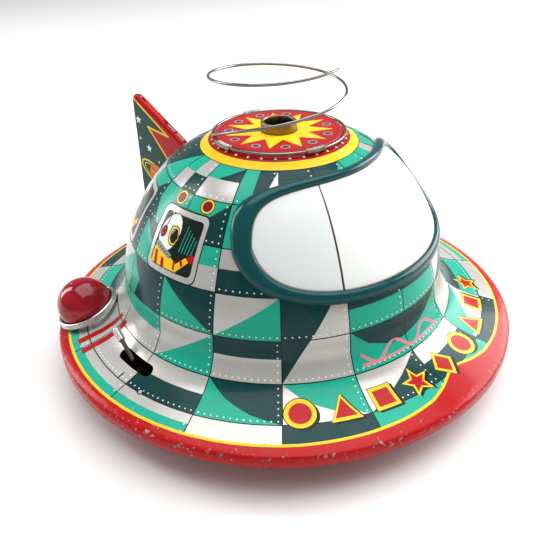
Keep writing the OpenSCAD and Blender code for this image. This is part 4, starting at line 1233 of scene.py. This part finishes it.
def build_fin():
    free, foot = fin_outline()
    loop = free + foot[1:-1]
    corners = np.array(loop)
    y, z = np.meshgrid(np.arange(corners[:, 0].min(), 98, 2.5), np.arange(0, 80, 2.5))
    grid = list(zip(y.ravel(), z.ravel()))
    for a, b in zip(np.array(free[:-1]), np.array(free[1:])):
        length = float(np.linalg.norm(b - a))
        away = np.array([(b - a)[1], -(b - a)[0]]) / length
        for step in np.arange(0, length, 1.0):
            on_edge = a + (b - a) * step / length
            grid += [tuple(on_edge + away * gap) for gap in (0.1, 0.35, 0.8, 1.3, FIN_ROLL)]
    grid = np.array(grid)
    grid = grid[inside(corners, grid[:, 0], grid[:, 1])]
    numbered = [(INK[ink], shape) for ink, shape in fin_art()]
    flat, tris, ink = print_sheet(loop, [], numbered, grid)
    gap, toward = nearest_edge(flat, free)
    lean = 1 - np.clip(gap / FIN_ROLL, 0, 1)
    flank = np.sqrt(np.maximum(0, 1 - lean ** 2))
    for side, node in ((-1, "tail_fin_left"), (1, "tail_fin_right")):
        x = side * (FIN_T / 2 * flank)
        points = np.column_stack([x, flat[:, 0], flat[:, 1] + RIM_Z])
        normals = np.column_stack([side * flank, toward * lean[:, None]])
        normals /= np.maximum(np.linalg.norm(normals, axis=1), 1e-9)[:, None]
        mesh = printed_solid(node + "_look", points, normals, tris.copy(), ink.copy(), 0.05)
        add_piece(node + "_pressed", mesh, "chassis", "litho_tin", DISC_TIN, node)


build_fin()


# ---------------------------------------------------------------- lamp and lever

LENS_R = 12.0
LENS_STEM = 3.5
LENS_WALL = 0.8
LENS_LIFT = 0.6


def below_brim(points):
    """Which points lie under the shell's skin."""
    radius = np.hypot(points[:, 0], points[:, 1])
    skin = np.array([on_profile(s_at_radius(r))[1] for r in radius])
    return points[:, 2] < skin + RIM_Z - 0.1


def build_lamp():
    """A moulded lens over a plated ring whose foot follows the brim."""
    turn = np.linspace(0, math.pi / 2, 20)[:-1]
    middle, bore, foot = LENS_LIFT + LENS_STEM, LENS_R - LENS_WALL, LENS_LIFT + 0.1
    outer = [(LENS_R * math.cos(a), middle + LENS_R * math.sin(a)) for a in turn]
    hollow = [(bore * math.cos(a), middle + bore * math.sin(a)) for a in turn]
    profile = ([(LENS_R, foot)] + outer + [(0.01, middle + LENS_R), (0.01, middle + bore)] + hollow[::-1]
               + [(bore, foot)])
    points, faces = lathe(profile, 72)
    mesh = mesh_of("lens_look", moved(points, LAMP_PLACE), faces)
    add_piece("lens_moulded", mesh, "chassis", "red_lens", LENS, "lamp_lens")
    ring = [(12.06, 0), (13.7, 0), (13.7, 0.9), (13.98, 1.15), (14.1, 1.6), (13.95, 2.05), (13.6, 2.3),
            (13.75, 2.6), (13.72, 3.0), (13.4, 3.35), (12.9, 3.45), (12.4, 3.3), (12.1, 3.0)]
    around = 96
    points, faces = lathe(ring, around)
    points = np.array(points)
    for lane in range(2):
        for i in range(around):
            row = points[lane * around + i].copy()
            for drop in np.arange(0.2, -2.5, -0.1):
                row[2] = drop
                if below_brim(moved([row], LAMP_PLACE))[0]:
                    break
            points[lane * around + i] = row
    mesh = mesh_of("bezel_look", moved(points, LAMP_PLACE), faces)
    add_piece("bezel_rolled", mesh, "chassis", "chrome", CHROME, "lamp_bezel")


build_lamp()


PIVOT_R = 62.0
LEVER_REST = -6.0
LEVER_KNEE = (0, -19.5, 25.2)
LEVER_LEAN = (-12.5, 0, 7.6)
FERRULE_L = 5.5
FERRULE_R = 1.62


def build_ferrule():
    """A knurled sleeve on the lever's bent end."""
    place = (Matrix.Rotation(math.radians(SWITCH_AT), 4, "Z") @ Matrix.Translation((0, -PIVOT_R, 0))
             @ Matrix.Rotation(math.radians(LEVER_REST), 4, "Z"))
    lean = np.array(LEVER_LEAN)
    tip = np.array(LEVER_KNEE) + lean
    back = FERRULE_L * lean / np.linalg.norm(lean)
    steps = 44
    path = [tip + back * (0.1 - 1.1 * i / steps) for i in range(steps + 1)]
    radii = [FERRULE_R + 0.09 * math.cos(2 * math.pi * i / 4) for i in range(steps + 1)]
    radii[0], radii[1], radii[-2], radii[-1] = 1.1, 1.5, 1.5, 1.2
    points, faces = tube(path, radii, 20)
    mesh = mesh_of("ferrule_look", moved(points, place), faces)
    add_piece("ferrule_knurled", mesh, BODY_OF["lever_ferrule"], "chrome", CHROME, "lever_ferrule")


build_ferrule()

bpy.context.view_layer.update()
